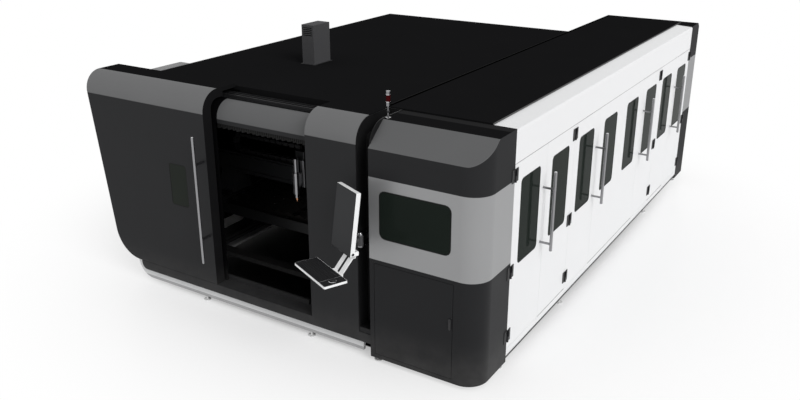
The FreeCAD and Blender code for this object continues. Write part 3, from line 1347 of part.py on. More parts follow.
def gantry_carriage():
    x0 = CARRIAGE_X - CARRIAGE_WIDTH / 2
    x1 = x0 + CARRIAGE_WIDTH
    low = BEAM_LOW + CARRIAGE_LOW
    top = BEAM_LOW + BEAM_HEIGHT - SEAM
    plate = block(x0, x1, CARRIAGE_FRONT, CARRIAGE_BACK, low, top)
    for z in x_rail_levels():
        plate = plate.cut(block(x0 - 1, x1 + 1, BEAM_FACE - X_RAIL_DEEP - RUN_CLEAR,
                                CARRIAGE_BACK + 1, z - RUN_CLEAR, z + X_RAIL + RUN_CLEAR))
    half = MOTOR_WIDTH / 2
    motor = along_z(rounded(CARRIAGE_X - half, CARRIAGE_X + half, CARRIAGE_FRONT,
                            CARRIAGE_BACK, PLATE), top, top + MOTOR_HEIGHT)
    save("gantry_carriage", fused([plate, motor]))


def cutting_head():
    half = HEAD_WIDTH / 2
    plate = block(CARRIAGE_X - half, CARRIAGE_X + half, HEAD_FRONT, HEAD_BACK, HEAD_LOW,
                  HEAD_LOW + HEAD_HEIGHT)
    low = NOZZLE_TIP + NOZZLE_LENGTH
    body_low = low + HEAD_RADIUS
    optic_low = body_low + HEAD_BODY
    throat = (NOZZLE_TOP + HEAD_RADIUS) / 2
    body = [
        plate,
        along_z(flats(CARRIAGE_X, HEAD_Y, throat, 12), low, body_low),
        along_z(flats(CARRIAGE_X, HEAD_Y, HEAD_RADIUS, 12), body_low, optic_low),
        along_z(flats(CARRIAGE_X, HEAD_Y, COLLIMATOR, 12), optic_low,
                optic_low + COLLIMATOR_HEIGHT),
        block(CARRIAGE_X - COLLIMATOR, CARRIAGE_X + COLLIMATOR, HEAD_Y, HEAD_FRONT,
              HEAD_LOW + SKIN, HEAD_LOW + SKIN + HEAD_BODY / 2)]
    save("cutting_head", fused(body))
    shoulder = NOZZLE_TIP + NOZZLE_LENGTH / 2
    tip = fused([
        along_z(flats(CARRIAGE_X, HEAD_Y, NOZZLE_TOP / 2, 12), NOZZLE_TIP, shoulder),
        along_z(flats(CARRIAGE_X, HEAD_Y, NOZZLE_TOP, 6), shoulder, low)])
    save("nozzle", tip)


def chain_place(distance):
    # centre line of the chain: back along the beam, round the bend, forward above it
    low = BEAM_LOW + BEAM_HEIGHT + CHAIN_THICK / 2
    arc = math.pi * CHAIN_BEND
    if distance < CHAIN_LOWER:
        return CHAIN_LEFT + CHAIN_LOWER - distance, low, 0.0
    if distance < CHAIN_LOWER + arc:
        turn = (distance - CHAIN_LOWER) / CHAIN_BEND
        return (CHAIN_LEFT - CHAIN_BEND * math.sin(turn),
                low + CHAIN_BEND * (1 - math.cos(turn)), math.degrees(turn))
    return CHAIN_LEFT + distance - CHAIN_LOWER - arc, low + 2 * CHAIN_BEND, 180.0


def cable_chain():
    y0 = GANTRY_Y - CHAIN_WIDTH / 2
    y1 = y0 + CHAIN_WIDTH
    low = BEAM_LOW + BEAM_HEIGHT + CHAIN_THICK / 2
    high = low + 2 * CHAIN_BEND
    arm = CHAIN_BEND + CHAIN_BAND / 2
    inner = CHAIN_BEND - CHAIN_BAND / 2
    middle = low + CHAIN_BEND
    band = along_y([
        (CHAIN_LEFT + CHAIN_LOWER, middle - arm), (CHAIN_LEFT, middle - arm),
        ((CHAIN_LEFT - arm, middle), (CHAIN_LEFT, middle + arm)),
        (CHAIN_LEFT + CHAIN_UPPER, middle + arm), (CHAIN_LEFT + CHAIN_UPPER, middle + inner),
        (CHAIN_LEFT, middle + inner), ((CHAIN_LEFT - inner, middle), (CHAIN_LEFT, middle - inner)),
        (CHAIN_LEFT + CHAIN_LOWER, middle - inner)], y0 + PLATE, y1 - PLATE)
    length = CHAIN_LOWER + math.pi * CHAIN_BEND + CHAIN_UPPER
    links = [band]
    count = int(length // CHAIN_PITCH)
    for number in range(count):
        x, z, turn = chain_place((number + 0.5) * CHAIN_PITCH)
        link = block(x - CHAIN_LINK / 2, x + CHAIN_LINK / 2, y0, y1, z - CHAIN_THICK / 2,
                     z + CHAIN_THICK / 2)
        link.rotate(vec(x, 0, z), vec(0, 1, 0), turn)
        links.append(link)
    save("cable_chain", fused(links))


# ---- slat table and scrap drawer ----------------------------------------------------
def slat_rows():
    return [TABLE_FRONT + (row + 0.5) * SLAT_PITCH for row in range(SLAT_COUNT)]


def table_frame():
    # two side combs, a middle comb and two end plates; every slat drops into its slots
    left = BED_INNER_LEFT
    right = BED_INNER_RIGHT
    middle = (left + right) / 2
    rear = TABLE_FRONT + TABLE_LENGTH
    pieces = []
    for x0 in (left, middle - COMB_THICK / 2, right - COMB_THICK):
        pieces.append(block(x0, x0 + COMB_THICK, TABLE_FRONT, rear, COMB_LOW, COMB_TOP))
    for y0 in (TABLE_FRONT, rear - PLATE):
        pieces.append(block(left, right, y0, y0 + PLATE, COMB_LOW, COMB_TOP))
    frame = fused(pieces)
    half = SLAT_THICK / 2 + SLOT_CLEAR
    slots = [block(left - 1, right + 1, y - half, y + half, SLAT_SEAT, COMB_TOP + 1)
             for y in slat_rows()]
    save("table_frame", frame.cut(Part.makeCompound(slots)))


def table_slats():
    left = BED_INNER_LEFT + SLAT_END
    right = BED_INNER_RIGHT - SLAT_END
    top = SLAT_SEAT + SLAT_HEIGHT
    root = top - SLAT_TOOTH
    pitch = (right - left) / SLAT_TEETH
    edge = [(left, SLAT_SEAT), (right, SLAT_SEAT), (right, root)]
    for tooth in range(SLAT_TEETH):
        x = right - tooth * pitch
        edge.append((x - pitch / 2, top))
        edge.append((x - pitch, root))
    slats = []
    for y in slat_rows():
        slats.append(along_y(edge, y - SLAT_THICK / 2, y + SLAT_THICK / 2))
    save("table_slats", Part.makeCompound(slats))


def scrap_drawer():
    # open tray on the bed's runners; its front plate fills the hatch in the rear wall
    x0 = BED_INNER_LEFT + DRAWER_CLEAR
    x1 = BED_INNER_RIGHT - DRAWER_CLEAR
    y1 = BODY_DEPTH - SKIN
    y0 = y1 - DRAWER_LENGTH
    low = RUNNER_LEVEL + RUNNER + RUN_CLEAR
    wall = DRAWER_WALL
    tray = block(x0, x1, y0, y1 + 1, low, low + DRAWER_HEIGHT)
    tray = tray.cut(block(x0 + wall, x1 - wall, y0 + wall, y1 + 1, low + wall,
                          low + DRAWER_HEIGHT + 1))
    plate = block(x0, x1, y1, BODY_DEPTH, DRAWER_FRONT_LOW, DRAWER_FRONT_LOW + DRAWER_FRONT)
    middle = (x0 + x1) / 2
    pull_z = DRAWER_FRONT_LOW + DRAWER_FRONT * 0.75
    pull = along_y(rounded(middle - DRAWER_PULL / 2, middle + DRAWER_PULL / 2, pull_z - PLATE,
                           pull_z + PLATE, PLATE - 1), y1 - 1, BODY_DEPTH + 1)
    save("scrap_drawer", fused([tray, plate]).cut(pull))


# ---- tube unit ----------------------------------------------------------------------
def tube_leg_rows():
    first = TUBE_BED_FRONT + LEG / 2
    step = (TUBE_BED_LENGTH - LEG) / 2
    return [first, first + step, first + 2 * step]


def tube_rail_lines():
    edge = TUBE_BED_WIDTH / 2 - TUBE_RAIL * 2
    return (TUBE_X - edge - TUBE_RAIL, TUBE_X + edge)


def chuck_plate(middle_y, low):
    half = CHUCK_WIDTH / 2
    x0 = TUBE_X - half
    x1 = TUBE_X + half
    turn = CHUCK_CORNER
    plate = along_y([
        (x0, low), (x1, low), (x1, CHUCK_TOP - turn),
        (round_mid(x1 - turn, CHUCK_TOP - turn, turn, 1, 1), (x1 - turn, CHUCK_TOP)),
        (x0 + turn, CHUCK_TOP),
        (round_mid(x0 + turn, CHUCK_TOP - turn, turn, -1, 1), (x0, CHUCK_TOP - turn))],
        middle_y - CHUCK_DEPTH / 2, middle_y + CHUCK_DEPTH / 2)
    return plate.cut(rod_y(TUBE_X, middle_y - CHUCK_DEPTH, middle_y + CHUCK_DEPTH, TUBE_LEVEL,
                           RING_NECK + RING_CLEAR))


def tube_bed():
    half = TUBE_BED_WIDTH / 2
    rear = TUBE_BED_FRONT + TUBE_BED_LENGTH
    pieces = [block(TUBE_X - half, TUBE_X + half, TUBE_BED_FRONT, rear, TUBE_BED_LOW,
                    TUBE_BED_TOP)]
    for y in tube_leg_rows():
        pieces.append(block(TUBE_X - half, TUBE_X + half, y - LEG / 2, y + LEG / 2, FOOT_GAP,
                            TUBE_BED_LOW))
    for x0 in tube_rail_lines():
        pieces.append(block(x0, x0 + TUBE_RAIL, TUBE_BED_FRONT + LEG, rear, TUBE_BED_TOP,
                            TUBE_BED_TOP + TUBE_RAIL))
    pieces.append(chuck_plate(FRONT_CHUCK_Y, TUBE_BED_TOP))
    save("tube_bed", fused(pieces))


def rear_chuck_carriage():
    base_low = TUBE_BED_TOP + SHOE_LIFT
    half = CHUCK_WIDTH / 2
    foot = block(TUBE_X - half, TUBE_X + half, REAR_CHUCK_Y - CHUCK_DEPTH,
                 REAR_CHUCK_Y + CHUCK_DEPTH, base_low, base_low + SHOE_PLATE)
    body = fused([foot, chuck_plate(REAR_CHUCK_Y, base_low + SHOE_PLATE)])
    for x0 in tube_rail_lines():
        body = body.cut(block(x0 - RUN_CLEAR, x0 + TUBE_RAIL + RUN_CLEAR,
                              REAR_CHUCK_Y - CHUCK_DEPTH - 1, REAR_CHUCK_Y + CHUCK_DEPTH + 1,
                              TUBE_BED_TOP, TUBE_BED_TOP + TUBE_RAIL + RUN_CLEAR))
    save("rear_chuck_carriage", body)


def chuck_ring(name, middle_y):
    face = middle_y - CHUCK_DEPTH / 2 - RUN_CLEAR
    pieces = [along_y(flats(TUBE_X, TUBE_LEVEL, RING_RADIUS, RING_FLATS), face - RING_THICK,
                      face),
              rod_y(TUBE_X, face, middle_y + CHUCK_DEPTH / 2, TUBE_LEVEL, RING_NECK)]
    front = face - RING_THICK
    for quarter in range(4):
        jaw = block(TUBE_X + JAW_INNER, TUBE_X + JAW_OUTER, front - JAW_THICK, front,
                    TUBE_LEVEL - JAW_WIDTH / 2, TUBE_LEVEL + JAW_WIDTH / 2)
        jaw.rotate(vec(TUBE_X, 0, TUBE_LEVEL), vec(0, 1, 0), 90 * quarter)
        pieces.append(jaw)
    bore = bore_flats(TUBE_X, TUBE_LEVEL, RING_BORE, RING_FLATS)
    ring = fused(pieces).cut(along_y(bore, front - JAW_THICK, middle_y + CHUCK_DEPTH))
    save(name, ring)


os.makedirs("parts", exist_ok=True)
levelling_feet()
base_casing()
left_wall()
rear_wall()
main_roof()
exhaust_duct()
header_hood()
door_track()
right_front_panel()
groove_channel()
sliding_door()
front_cabinet()
cabinet_lower()
cabinet_door()
cabinet_lock()
rear_cabinet()
laser_source()
booth_top_band()
side_frame()
door_hinges()
for door in SIDE_DOORS:
    side_door(*door)
stack_light()
hmi_bracket()
hmi_arm()
monitor()
keyboard_tray()
bed_frame()
gantry_rails()
gantry_beam()
gantry_carriage()
cutting_head()
cable_chain()
table_frame()
table_slats()
scrap_drawer()
tube_bed()
rear_chuck_carriage()
chuck_ring("front_chuck_ring", FRONT_CHUCK_Y)
chuck_ring("rear_chuck_ring", REAR_CHUCK_Y)
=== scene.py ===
"""Looks of an enclosed fibre laser cutter for sheet and tube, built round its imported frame."""

from __future__ import annotations

import logging
import math
from dataclasses import dataclass
from enum import Enum

import bpy
from mathutils import Matrix, Vector
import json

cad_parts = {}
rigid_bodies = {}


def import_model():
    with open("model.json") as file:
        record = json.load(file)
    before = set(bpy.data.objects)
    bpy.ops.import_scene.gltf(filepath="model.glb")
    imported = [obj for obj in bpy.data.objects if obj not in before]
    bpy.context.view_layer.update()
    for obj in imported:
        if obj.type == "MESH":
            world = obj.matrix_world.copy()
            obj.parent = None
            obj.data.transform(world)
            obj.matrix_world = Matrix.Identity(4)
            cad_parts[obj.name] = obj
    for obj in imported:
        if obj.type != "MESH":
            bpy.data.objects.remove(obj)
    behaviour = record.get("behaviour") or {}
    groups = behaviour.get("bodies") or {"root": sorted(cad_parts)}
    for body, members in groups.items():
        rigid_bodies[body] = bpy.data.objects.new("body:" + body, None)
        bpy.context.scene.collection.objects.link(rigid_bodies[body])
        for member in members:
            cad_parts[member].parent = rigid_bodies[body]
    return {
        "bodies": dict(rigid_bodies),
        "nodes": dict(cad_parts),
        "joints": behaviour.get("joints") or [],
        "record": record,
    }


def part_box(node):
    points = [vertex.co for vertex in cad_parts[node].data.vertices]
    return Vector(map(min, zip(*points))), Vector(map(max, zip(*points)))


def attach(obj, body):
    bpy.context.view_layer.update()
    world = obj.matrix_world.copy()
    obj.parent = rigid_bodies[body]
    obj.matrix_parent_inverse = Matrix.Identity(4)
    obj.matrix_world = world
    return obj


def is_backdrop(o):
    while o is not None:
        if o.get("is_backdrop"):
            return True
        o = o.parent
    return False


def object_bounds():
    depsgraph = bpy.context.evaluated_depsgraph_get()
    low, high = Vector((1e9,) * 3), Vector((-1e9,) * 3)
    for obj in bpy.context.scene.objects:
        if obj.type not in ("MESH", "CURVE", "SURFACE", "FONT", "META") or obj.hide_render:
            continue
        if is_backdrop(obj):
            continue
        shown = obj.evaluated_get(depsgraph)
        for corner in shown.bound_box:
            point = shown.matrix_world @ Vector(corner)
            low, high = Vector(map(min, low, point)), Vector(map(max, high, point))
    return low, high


LOG = logging.getLogger("laser_cutter")

Pair = tuple[float, float]
Point = tuple[float, float, float]
Box = tuple[float, float, float, float]
Colour = Point
Loop = list[Pair]
Profile = tuple[Pair, ...]
Shape = tuple[list[Point], list[tuple[int, ...]]]
Placed = list[tuple[Shape, Matrix]]
Socket = bpy.types.NodeSocket

IMAGE_WIDTH = 800
IMAGE_HEIGHT = 400
WHITE: Colour = (1.0, 1.0, 1.0)
UNDERGROUND, SKY = -10.0, 10.0


class Axis(Enum):
    """The row frame's directions, as unit vectors."""

    RIGHT = (1.0, 0.0, 0.0)
    LEFT = (-1.0, 0.0, 0.0)
    REAR = (0.0, 1.0, 0.0)
    FRONT = (0.0, -1.0, 0.0)
    UP = (0.0, 0.0, 1.0)
    DOWN = (0.0, 0.0, -1.0)

    @property
    def vector(self) -> Vector:
        """The direction as a vector."""
        return Vector(self.value)


def stand(name: str, data: bpy.types.ID) -> bpy.types.Object:
    """Makes an object and links it to the scene.

    Args:
        name: the object's name.
        data: its mesh, camera or lamp.

    Returns:
        The object.
    """
    thing = bpy.data.objects.new(name, data)
    bpy.context.scene.collection.objects.link(thing)
    return thing


# ---------------------------------------------------------------- node helpers


class NodeSheet:
    """A node tree with short calls for adding and joining nodes."""

    def __init__(self, tree: bpy.types.NodeTree) -> None:
        """Args:
        tree: the tree that nodes are added to.
        """
        self.tree = tree

    def feed(self, socket: Socket, value: object) -> None:
        """Joins an output to an input, or sets the input to a value.

        Args:
            socket: the input.
            value: an output, a number, a vector or a colour.
        """
        if isinstance(value, Socket):
            self.tree.links.new(value, socket)
        else:
            socket.default_value = (*value, 1.0) if socket.type == "RGBA" else value

    def fill(self, inputs: bpy.types.NodeInputs, **values: object) -> None:
        """Feeds several inputs, named with underscores for spaces."""
        for name, value in values.items():
            self.feed(inputs[name.replace("_", " ")], value)

    def add(self, kind: str, feeds: dict[str | int, object] | None = None,
            **settings: object) -> bpy.types.Node:
        """Adds one node.

        Args:
            kind: the node's bl_idname.
            feeds: what goes into its inputs, by name or number.
            settings: attributes to set on the node.

        Returns:
            The new node.
        """
        node = self.tree.nodes.new(kind)
        for name, value in settings.items():
            setattr(node, name, value)
        for place, value in (feeds or {}).items():
            self.feed(node.inputs[place], value)
        return node

    def calc(self, operation: str, first: object, second: object = 0.0) -> Socket:
        """The result of a Math node on sockets or numbers."""
        return self.add("ShaderNodeMath", {0: first, 1: second}, operation=operation).outputs[0]

    def flip(self, value: Socket) -> Socket:
        """One less the value."""
        return self.calc("SUBTRACT", 1.0, value)

    def step(self, value: Socket, low: float, high: float) -> Socket:
        """A smooth 0 to 1 step of a value between two of its levels."""
        return self.add("ShaderNodeMapRange", {"Value": value, "From Min": low, "From Max": high},
                        interpolation_type="SMOOTHSTEP").outputs["Result"]

    def mix(self, mask: Socket, plain: object, marked: object) -> Socket:
        """A mix of two colours or colour sockets: plain where the mask is 0, marked where 1."""
        return self.add("ShaderNodeMix", {"Factor": mask, 6: plain, 7: marked},
                        data_type="RGBA").outputs[2]

    def vector(self, operation: str, **inputs: object) -> bpy.types.NodeOutputs:
        """Adds a Vector Math node.

        Args:
            operation: what it works out.
            inputs: what goes into it; `first` and `second` are its two vectors.

        Returns:
            The node's outputs.
        """
        names = {"first": 0, "second": 1}
        feeds = {names.get(name, name): value for name, value in inputs.items()}
        return self.add("ShaderNodeVectorMath", feeds, operation=operation).outputs

    def noise(self, place: Socket, scale: object, detail: float) -> Socket:
        """A noise texture's factor."""
        return self.add("ShaderNodeTexNoise", {"Vector": place, "Scale": scale,
                                               "Detail": detail}).outputs["Fac"]

    def xyz(self, vector: Socket) -> bpy.types.NodeOutputs:
        """The three parts of a vector, as X, Y and Z."""
        return self.add("ShaderNodeSeparateXYZ", {0: vector}).outputs


class GroupSheet(NodeSheet):
    """A new node group with named inputs and outputs."""

    def __init__(self, name: str, kind: str, inputs: dict[str, str],
                 outputs: dict[str, str]) -> None:
        """Args:
        name: the group's name.
        kind: the kind of its tree.
        inputs: each input's title and kind of socket.
        outputs: each output's title and kind of socket.
        """
        super().__init__(bpy.data.node_groups.new(name, kind))
        self.sockets: dict[str, str] = {}
        for way, titles in (("OUTPUT", outputs), ("INPUT", inputs)):
            for title, socket in titles.items():
                made = self.tree.interface.new_socket(title, in_out=way,
                                                      socket_type=f"NodeSocket{socket}")
                self.sockets[title] = made.identifier
        self.given = self.add("NodeGroupInput").outputs
        self.put = self.add("NodeGroupOutput").inputs

    def done(self, **values: object) -> bpy.types.NodeTree:
        """Feeds the group's outputs and gives its tree."""
        self.fill(self.put, **values)
        return self.tree


class ShaderGroups:
    """The shader effects that several materials share, each built once."""

    def __init__(self) -> None:
        """Builds the groups."""
        self.coat = self._coat()
        self.brushed = self._brushed()
        self.dust = self._dust()

    @staticmethod
    def _coat(drift_scale: float = 1.7, rough_swing: float = 0.16) -> bpy.types.NodeTree:
        """Powder coat: a slow drift of tone, a fine speckle and the skin's orange peel.

        Args:
            drift_scale: the scale of the slow drift.
            rough_swing: how much the drift changes the roughness.

        Returns:
            The group's tree.
        """
        sheet = GroupSheet(
            "powder_coat_skin", "ShaderNodeTree",
            {"Position": "Vector", "Colour": "Color", "Drift": "Float", "Roughness": "Float",
             "Peel Scale": "Float"},
            {"Colour": "Color", "Roughness": "Float", "Height": "Float"})
        given = sheet.given
        peel = sheet.noise(given["Position"], given["Peel Scale"], detail=2.0)
        cloud = sheet.noise(given["Position"], drift_scale, detail=3.0)
        drift = sheet.calc("SUBTRACT", cloud, 0.5)
        speck = sheet.calc("MULTIPLY", sheet.calc("SUBTRACT", peel, 0.5), 0.5)
        swing = sheet.calc("MULTIPLY", sheet.calc("ADD", drift, speck), given["Drift"])
        tint = sheet.vector("SCALE", first=given["Colour"], Scale=sheet.calc("ADD", swing, 1.0))
        change = sheet.calc("MULTIPLY", drift, rough_swing)
        return sheet.done(Colour=tint["Vector"], Height=peel,
                          Roughness=sheet.calc("ADD", given["Roughness"], change))

    @staticmethod
    def _brushed() -> bpy.types.NodeTree:
        """Brushed or ground metal: long fine lines along one direction."""
        sheet = GroupSheet(
            "brushed_lines", "ShaderNodeTree",
            {"Position": "Vector", "Stretch": "Vector", "Roughness": "Float", "Spread": "Float"},
            {"Mask": "Float", "Roughness": "Float", "Height": "Float"})
        given = sheet.given
        scaled = sheet.vector("MULTIPLY", first=given["Position"], second=given["Stretch"])
        lines = sheet.noise(scaled["Vector"], 1.0, detail=3.0)
        spread = sheet.calc("MULTIPLY", sheet.calc("SUBTRACT", lines, 0.5), given["Spread"])
        return sheet.done(Mask=lines, Height=lines,
                          Roughness=sheet.calc("ADD", given["Roughness"], spread))

    @staticmethod
    def _dust(cloud_scale: float = 9.0) -> bpy.types.NodeTree:
        """A thin veil of shop dust, in clouds of a given scale, thicker towards the floor."""
        sheet = GroupSheet(
            "floor_dust", "ShaderNodeTree",
            {"Position": "Vector", "Colour": "Color", "Dust": "Color", "Level": "Float",
             "Strength": "Float"},
            {"Colour": "Color", "Mask": "Float"})
        given = sheet.given
        share = sheet.calc("DIVIDE", sheet.xyz(given["Position"])["Z"], given["Level"])
        fade = sheet.step(sheet.flip(share), 0.0, 1.0)
        cloud = sheet.noise(given["Position"], cloud_scale, detail=4.0)
        mask = sheet.calc("MULTIPLY", sheet.calc("MULTIPLY", fade, cloud), given["Strength"])
        return sheet.done(Colour=sheet.mix(mask, given["Colour"], given["Dust"]), Mask=mask)


# ---------------------------------------------------------------- finishes


class Material:
    """A material under way: its sheet, its Principled shader and its position."""

    def __init__(self, name: str, groups: ShaderGroups) -> None:
        """Args:
        name: the material's name.
        groups: the shared shader effects.
        """
        self.block = bpy.data.materials.new(name)
        self.block.use_nodes = True
        self.groups = groups
        self.sheet = NodeSheet(self.block.node_tree)
        self.shader = self.block.node_tree.nodes["Principled BSDF"]
        self.position = self.sheet.add("ShaderNodeTexCoord").outputs["Object"]

    def group(self, tree: bpy.types.NodeTree, **values: object) -> bpy.types.NodeOutputs:
        """Places a shared effect.

        Args:
            tree: the effect's tree.
            values: its inputs, with underscores for spaces, as values or sockets.

        Returns:
            The effect's outputs.
        """
        node = self.sheet.add("ShaderNodeGroup", node_tree=tree)
        self.sheet.fill(node.inputs, Position=self.position, **values)
        return node.outputs

    def set(self, **values: object) -> None:
        """Feeds the shader's own sockets, named with underscores for spaces."""
        self.sheet.fill(self.shader.inputs, **values)

    def bump(self, height: Socket, depth: float) -> None:
        """Feeds a relief to the shader's normal, from 0 to 1 over a depth in metres."""
        node = self.sheet.add("ShaderNodeBump", {"Height": height, "Distance": depth,
                                                 "Strength": 1.0})
        self.set(Normal=node.outputs["Normal"])


@dataclass(frozen=True)
class Finish:
    """What every finish has, and how its material is made."""

    name: str
    colour: Colour
    roughness: float = 0.45

    def material(self, groups: ShaderGroups) -> bpy.types.Material:
        """Builds the material.

        Args:
            groups: the shared shader effects.

        Returns:
            The material.
        """
        made = Material(self.name, groups)
        self.wire(made)
        return made.block

    def wire(self, made: Material) -> None:
        """Wires the finish's own nodes."""
        raise NotImplementedError


@dataclass(frozen=True)
class Zone:
    """A region of a painted piece that is coloured otherwise: another paint, or painted shade,
    reflection or highlight.

    It lies within `depth` of the plane through `place` across `normal`, between two heights.
    """

    place: Point
    normal: Point
    depth: float
    colour: Colour
    floor: float = UNDERGROUND
    roof: float = SKY
    matt: bool = False
    soft_edge = 0.002

    def mask(self, made: Material) -> Socket:
        """Works out where the zone lies.

        Args:
            made: the material under way.

        Returns:
            A mask, 1 inside the zone.
        """
        sheet, half = made.sheet, self.soft_edge / 2
        off = sheet.vector("SUBTRACT", first=made.position, second=self.place)
        along = sheet.vector("DOT_PRODUCT", first=off["Vector"],
                             second=Vector(self.normal).normalized())
        near = sheet.calc("ABSOLUTE", along["Value"])
        inside = sheet.flip(sheet.step(near, self.depth, self.depth + self.soft_edge))
        height = sheet.xyz(made.position)["Z"]
        above = sheet.step(height, self.floor - half, self.floor + half)
        under = sheet.flip(sheet.step(height, self.roof - half, self.roof + half))
        return sheet.calc("MULTIPLY", inside, sheet.calc("MULTIPLY", above, under))


@dataclass(frozen=True)
class PaintFinish(Finish):
    """Powder coat or enamel on sheet metal."""

    gloss: float = 0.3
    drift: float = 0.1
    peel: float = 0.00004
    metal: float = 0.0
    dust: float = 0.15
    dust_colour: Colour = (0.3, 0.29, 0.28)
    zones: tuple[Zone, ...] = ()
    peel_scale = 420.0
    dust_level = 0.5
    coat_per_gloss = 3

    def wire(self, made: Material) -> None:
        """Wires the paint.

        A coat of its own takes the place of the shader's gloss where a zone is matt, because
        its weight may change over the surface.

        Args:
            made: the material under way.
        """
        sheet, colour, shine = made.sheet, self.colour, None
        for zone in self.zones:
            mask = zone.mask(made)
            colour = sheet.mix(mask, colour, zone.colour)
            if zone.matt:
                before = self.coat_per_gloss * self.gloss if shine is None else shine
                shine = sheet.calc("MULTIPLY", sheet.flip(mask), before)
        coat = made.group(made.groups.coat, Colour=colour, Drift=self.drift,
                          Roughness=self.roughness, Peel_Scale=self.peel_scale)
        veil = made.group(made.groups.dust, Colour=coat["Colour"], Level=self.dust_level,
                          Strength=self.dust, Dust=self.dust_colour)
        made.set(Base_Color=veil["Colour"], Roughness=coat["Roughness"], Metallic=self.metal,
                 Specular_IOR_Level=self.gloss if shine is None else 0.0)
        if shine is not None:
            made.set(Coat_Weight=shine, Coat_Roughness=self.roughness)
        made.bump(coat["Height"], self.peel)


@dataclass(frozen=True)
class SteelFinish(Finish):
    """Brushed, ground or turned bare metal."""

    roughness: float = 0.32
    stretch: Point = (900.0, 900.0, 10.0)
    lines: float = 0.25
    metal: float = 1.0
    spread = 0.15
    depth = 0.00002

    def wire(self, made: Material) -> None:
        """Wires the metal.

        Args:
            made: the material under way.
        """
        lines = made.group(made.groups.brushed, Stretch=self.stretch, Roughness=self.roughness,
                           Spread=self.spread)
        dark = tuple(part * (1.0 - self.lines) for part in self.colour)
        made.set(Base_Color=made.sheet.mix(lines["Mask"], dark, self.colour),
                 Roughness=lines["Roughness"], Metallic=self.metal)
        made.bump(lines["Height"], self.depth)


@dataclass(frozen=True)
class MouldedFinish(Finish):
    """Moulded plastic or rubber with a fine spark-eroded grain."""

    gloss: float = 0.4
    drift = 0.12
    grain = 0.00006
    grain_scale = 900.0

    def wire(self, made: Material) -> None:
        """Wires the plastic.

        Args:
            made: the material under way.
        """
        skin = made.group(made.groups.coat, Colour=self.colour, Drift=self.drift,
                          Roughness=self.roughness, Peel_Scale=self.grain_scale)
        made.set(Base_Color=skin["Colour"], Roughness=skin["Roughness"],
                 Specular_IOR_Level=self.gloss)
        made.bump(skin["Height"], self.grain)


@dataclass(frozen=True)
class GlassFinish(Finish):
    """Tinted laser-safe glass or a lens."""

    roughness: float = 0.05
    clear: float = 0.0
    gloss: float = 0.2
    index = 1.12
    drift = 0.2
    wave_scale = 3.0

    def wire(self, made: Material) -> None:
        """Wires the glass.

        Args:
            made: the material under way.
        """
        skin = made.group(made.groups.coat, Colour=self.colour, Drift=self.drift,
                          Roughness=self.roughness, Peel_Scale=self.wave_scale)
        made.set(Base_Color=skin["Colour"], Roughness=skin["Roughness"], IOR=self.index,
                 Transmission_Weight=self.clear, Specular_IOR_Level=self.gloss)


# ---------------------------------------------------------------- geometry nodes


class RepeatTree(GroupSheet):
    """A Geometry Nodes tree that sets one shape on every vertex of a carrier."""

    def __init__(self, name: str, inputs: dict[str, str]) -> None:
        """Args:
        name: the tree's name.
        inputs: title and kind of socket of each of the shape's sizes.
        """
        super().__init__(name, "GeometryNodeTree", {"Geometry": "Geometry", **inputs,
                                                    "Turn": "Rotation", "Material": "Material"},
                         {"Geometry": "Geometry"})

    def end(self, shape: Socket) -> None:
        """Sets the shape on the vertices and ends in Realize Instances and Set Material.

        Args:
            shape: the geometry to repeat.
        """
        points = self.add("GeometryNodeMeshToPoints", {"Mesh": self.given["Geometry"]})
        place = self.add("GeometryNodeInstanceOnPoints", {
            "Points": points.outputs[0], "Instance": shape, "Rotation": self.given["Turn"]})
        real = self.add("GeometryNodeRealizeInstances", {0: place.outputs[0]})
        paint = self.add("GeometryNodeSetMaterial", {
            "Geometry": real.outputs[0], "Material": self.given["Material"]})
        self.done(Geometry=paint.outputs[0])

    def run(self, name: str, places: list[Point], values: dict[str, object]) -> bpy.types.Object:
        """Runs the tree and keeps the result as a plain mesh.

        Args:
            name: the new piece's name.
            places: the carrier's vertices.
            values: the named inputs.

        Returns:
            The piece, with no modifier left.
        """
        carrier = bpy.data.meshes.new(name + "_dots")
        carrier.from_pydata(places, [], [])
        holder = stand(name + "_holder", carrier)
        modifier = holder.modifiers.new("repeat", "NODES")
        modifier.node_group = self.tree
        for title, value in values.items():
            modifier[self.sockets[title]] = value
        graph = bpy.context.evaluated_depsgraph_get()
        mesh = bpy.data.meshes.new_from_object(holder.evaluated_get(graph), depsgraph=graph)
        bpy.data.objects.remove(holder)
        mesh.name = name
        return stand(name, mesh)


class ScrewTree(RepeatTree):
    """Cap-head screws or bolts with a drilled socket."""

    def __init__(self, sides: int = 12, drilled: float = 0.6) -> None:
        """Args:
        sides: flats round the head.
        drilled: the socket's depth as a share of the head's height.
        """
        super().__init__("cap_screws", {"Head Radius": "Float", "Head Height": "Float",
                                        "Socket Share": "Float"})
        height = self.given["Head Height"]
        head = self.add("GeometryNodeMeshCylinder", {
            "Vertices": sides, "Radius": self.given["Head Radius"], "Depth": height})
        rim = self.add("GeometryNodeExtrudeMesh", {
            "Mesh": head.outputs["Mesh"], "Selection": head.outputs["Top"], "Offset Scale": 0.0})
        shrink = self.add("GeometryNodeScaleElements", {
            "Geometry": rim.outputs["Mesh"], "Selection": rim.outputs["Top"],
            "Scale": self.given["Socket Share"]})
        drill = self.add("GeometryNodeExtrudeMesh", {
            "Mesh": shrink.outputs["Geometry"], "Selection": rim.outputs["Top"],
            "Offset Scale": self.calc("MULTIPLY", height, -drilled)})
        rise = self.add("ShaderNodeCombineXYZ", {"Z": self.calc("MULTIPLY", height, 0.5)})
        lift = self.add("GeometryNodeTransform", {
            "Geometry": drill.outputs["Mesh"], "Translation": rise.outputs[0]})
        self.end(lift.outputs[0])


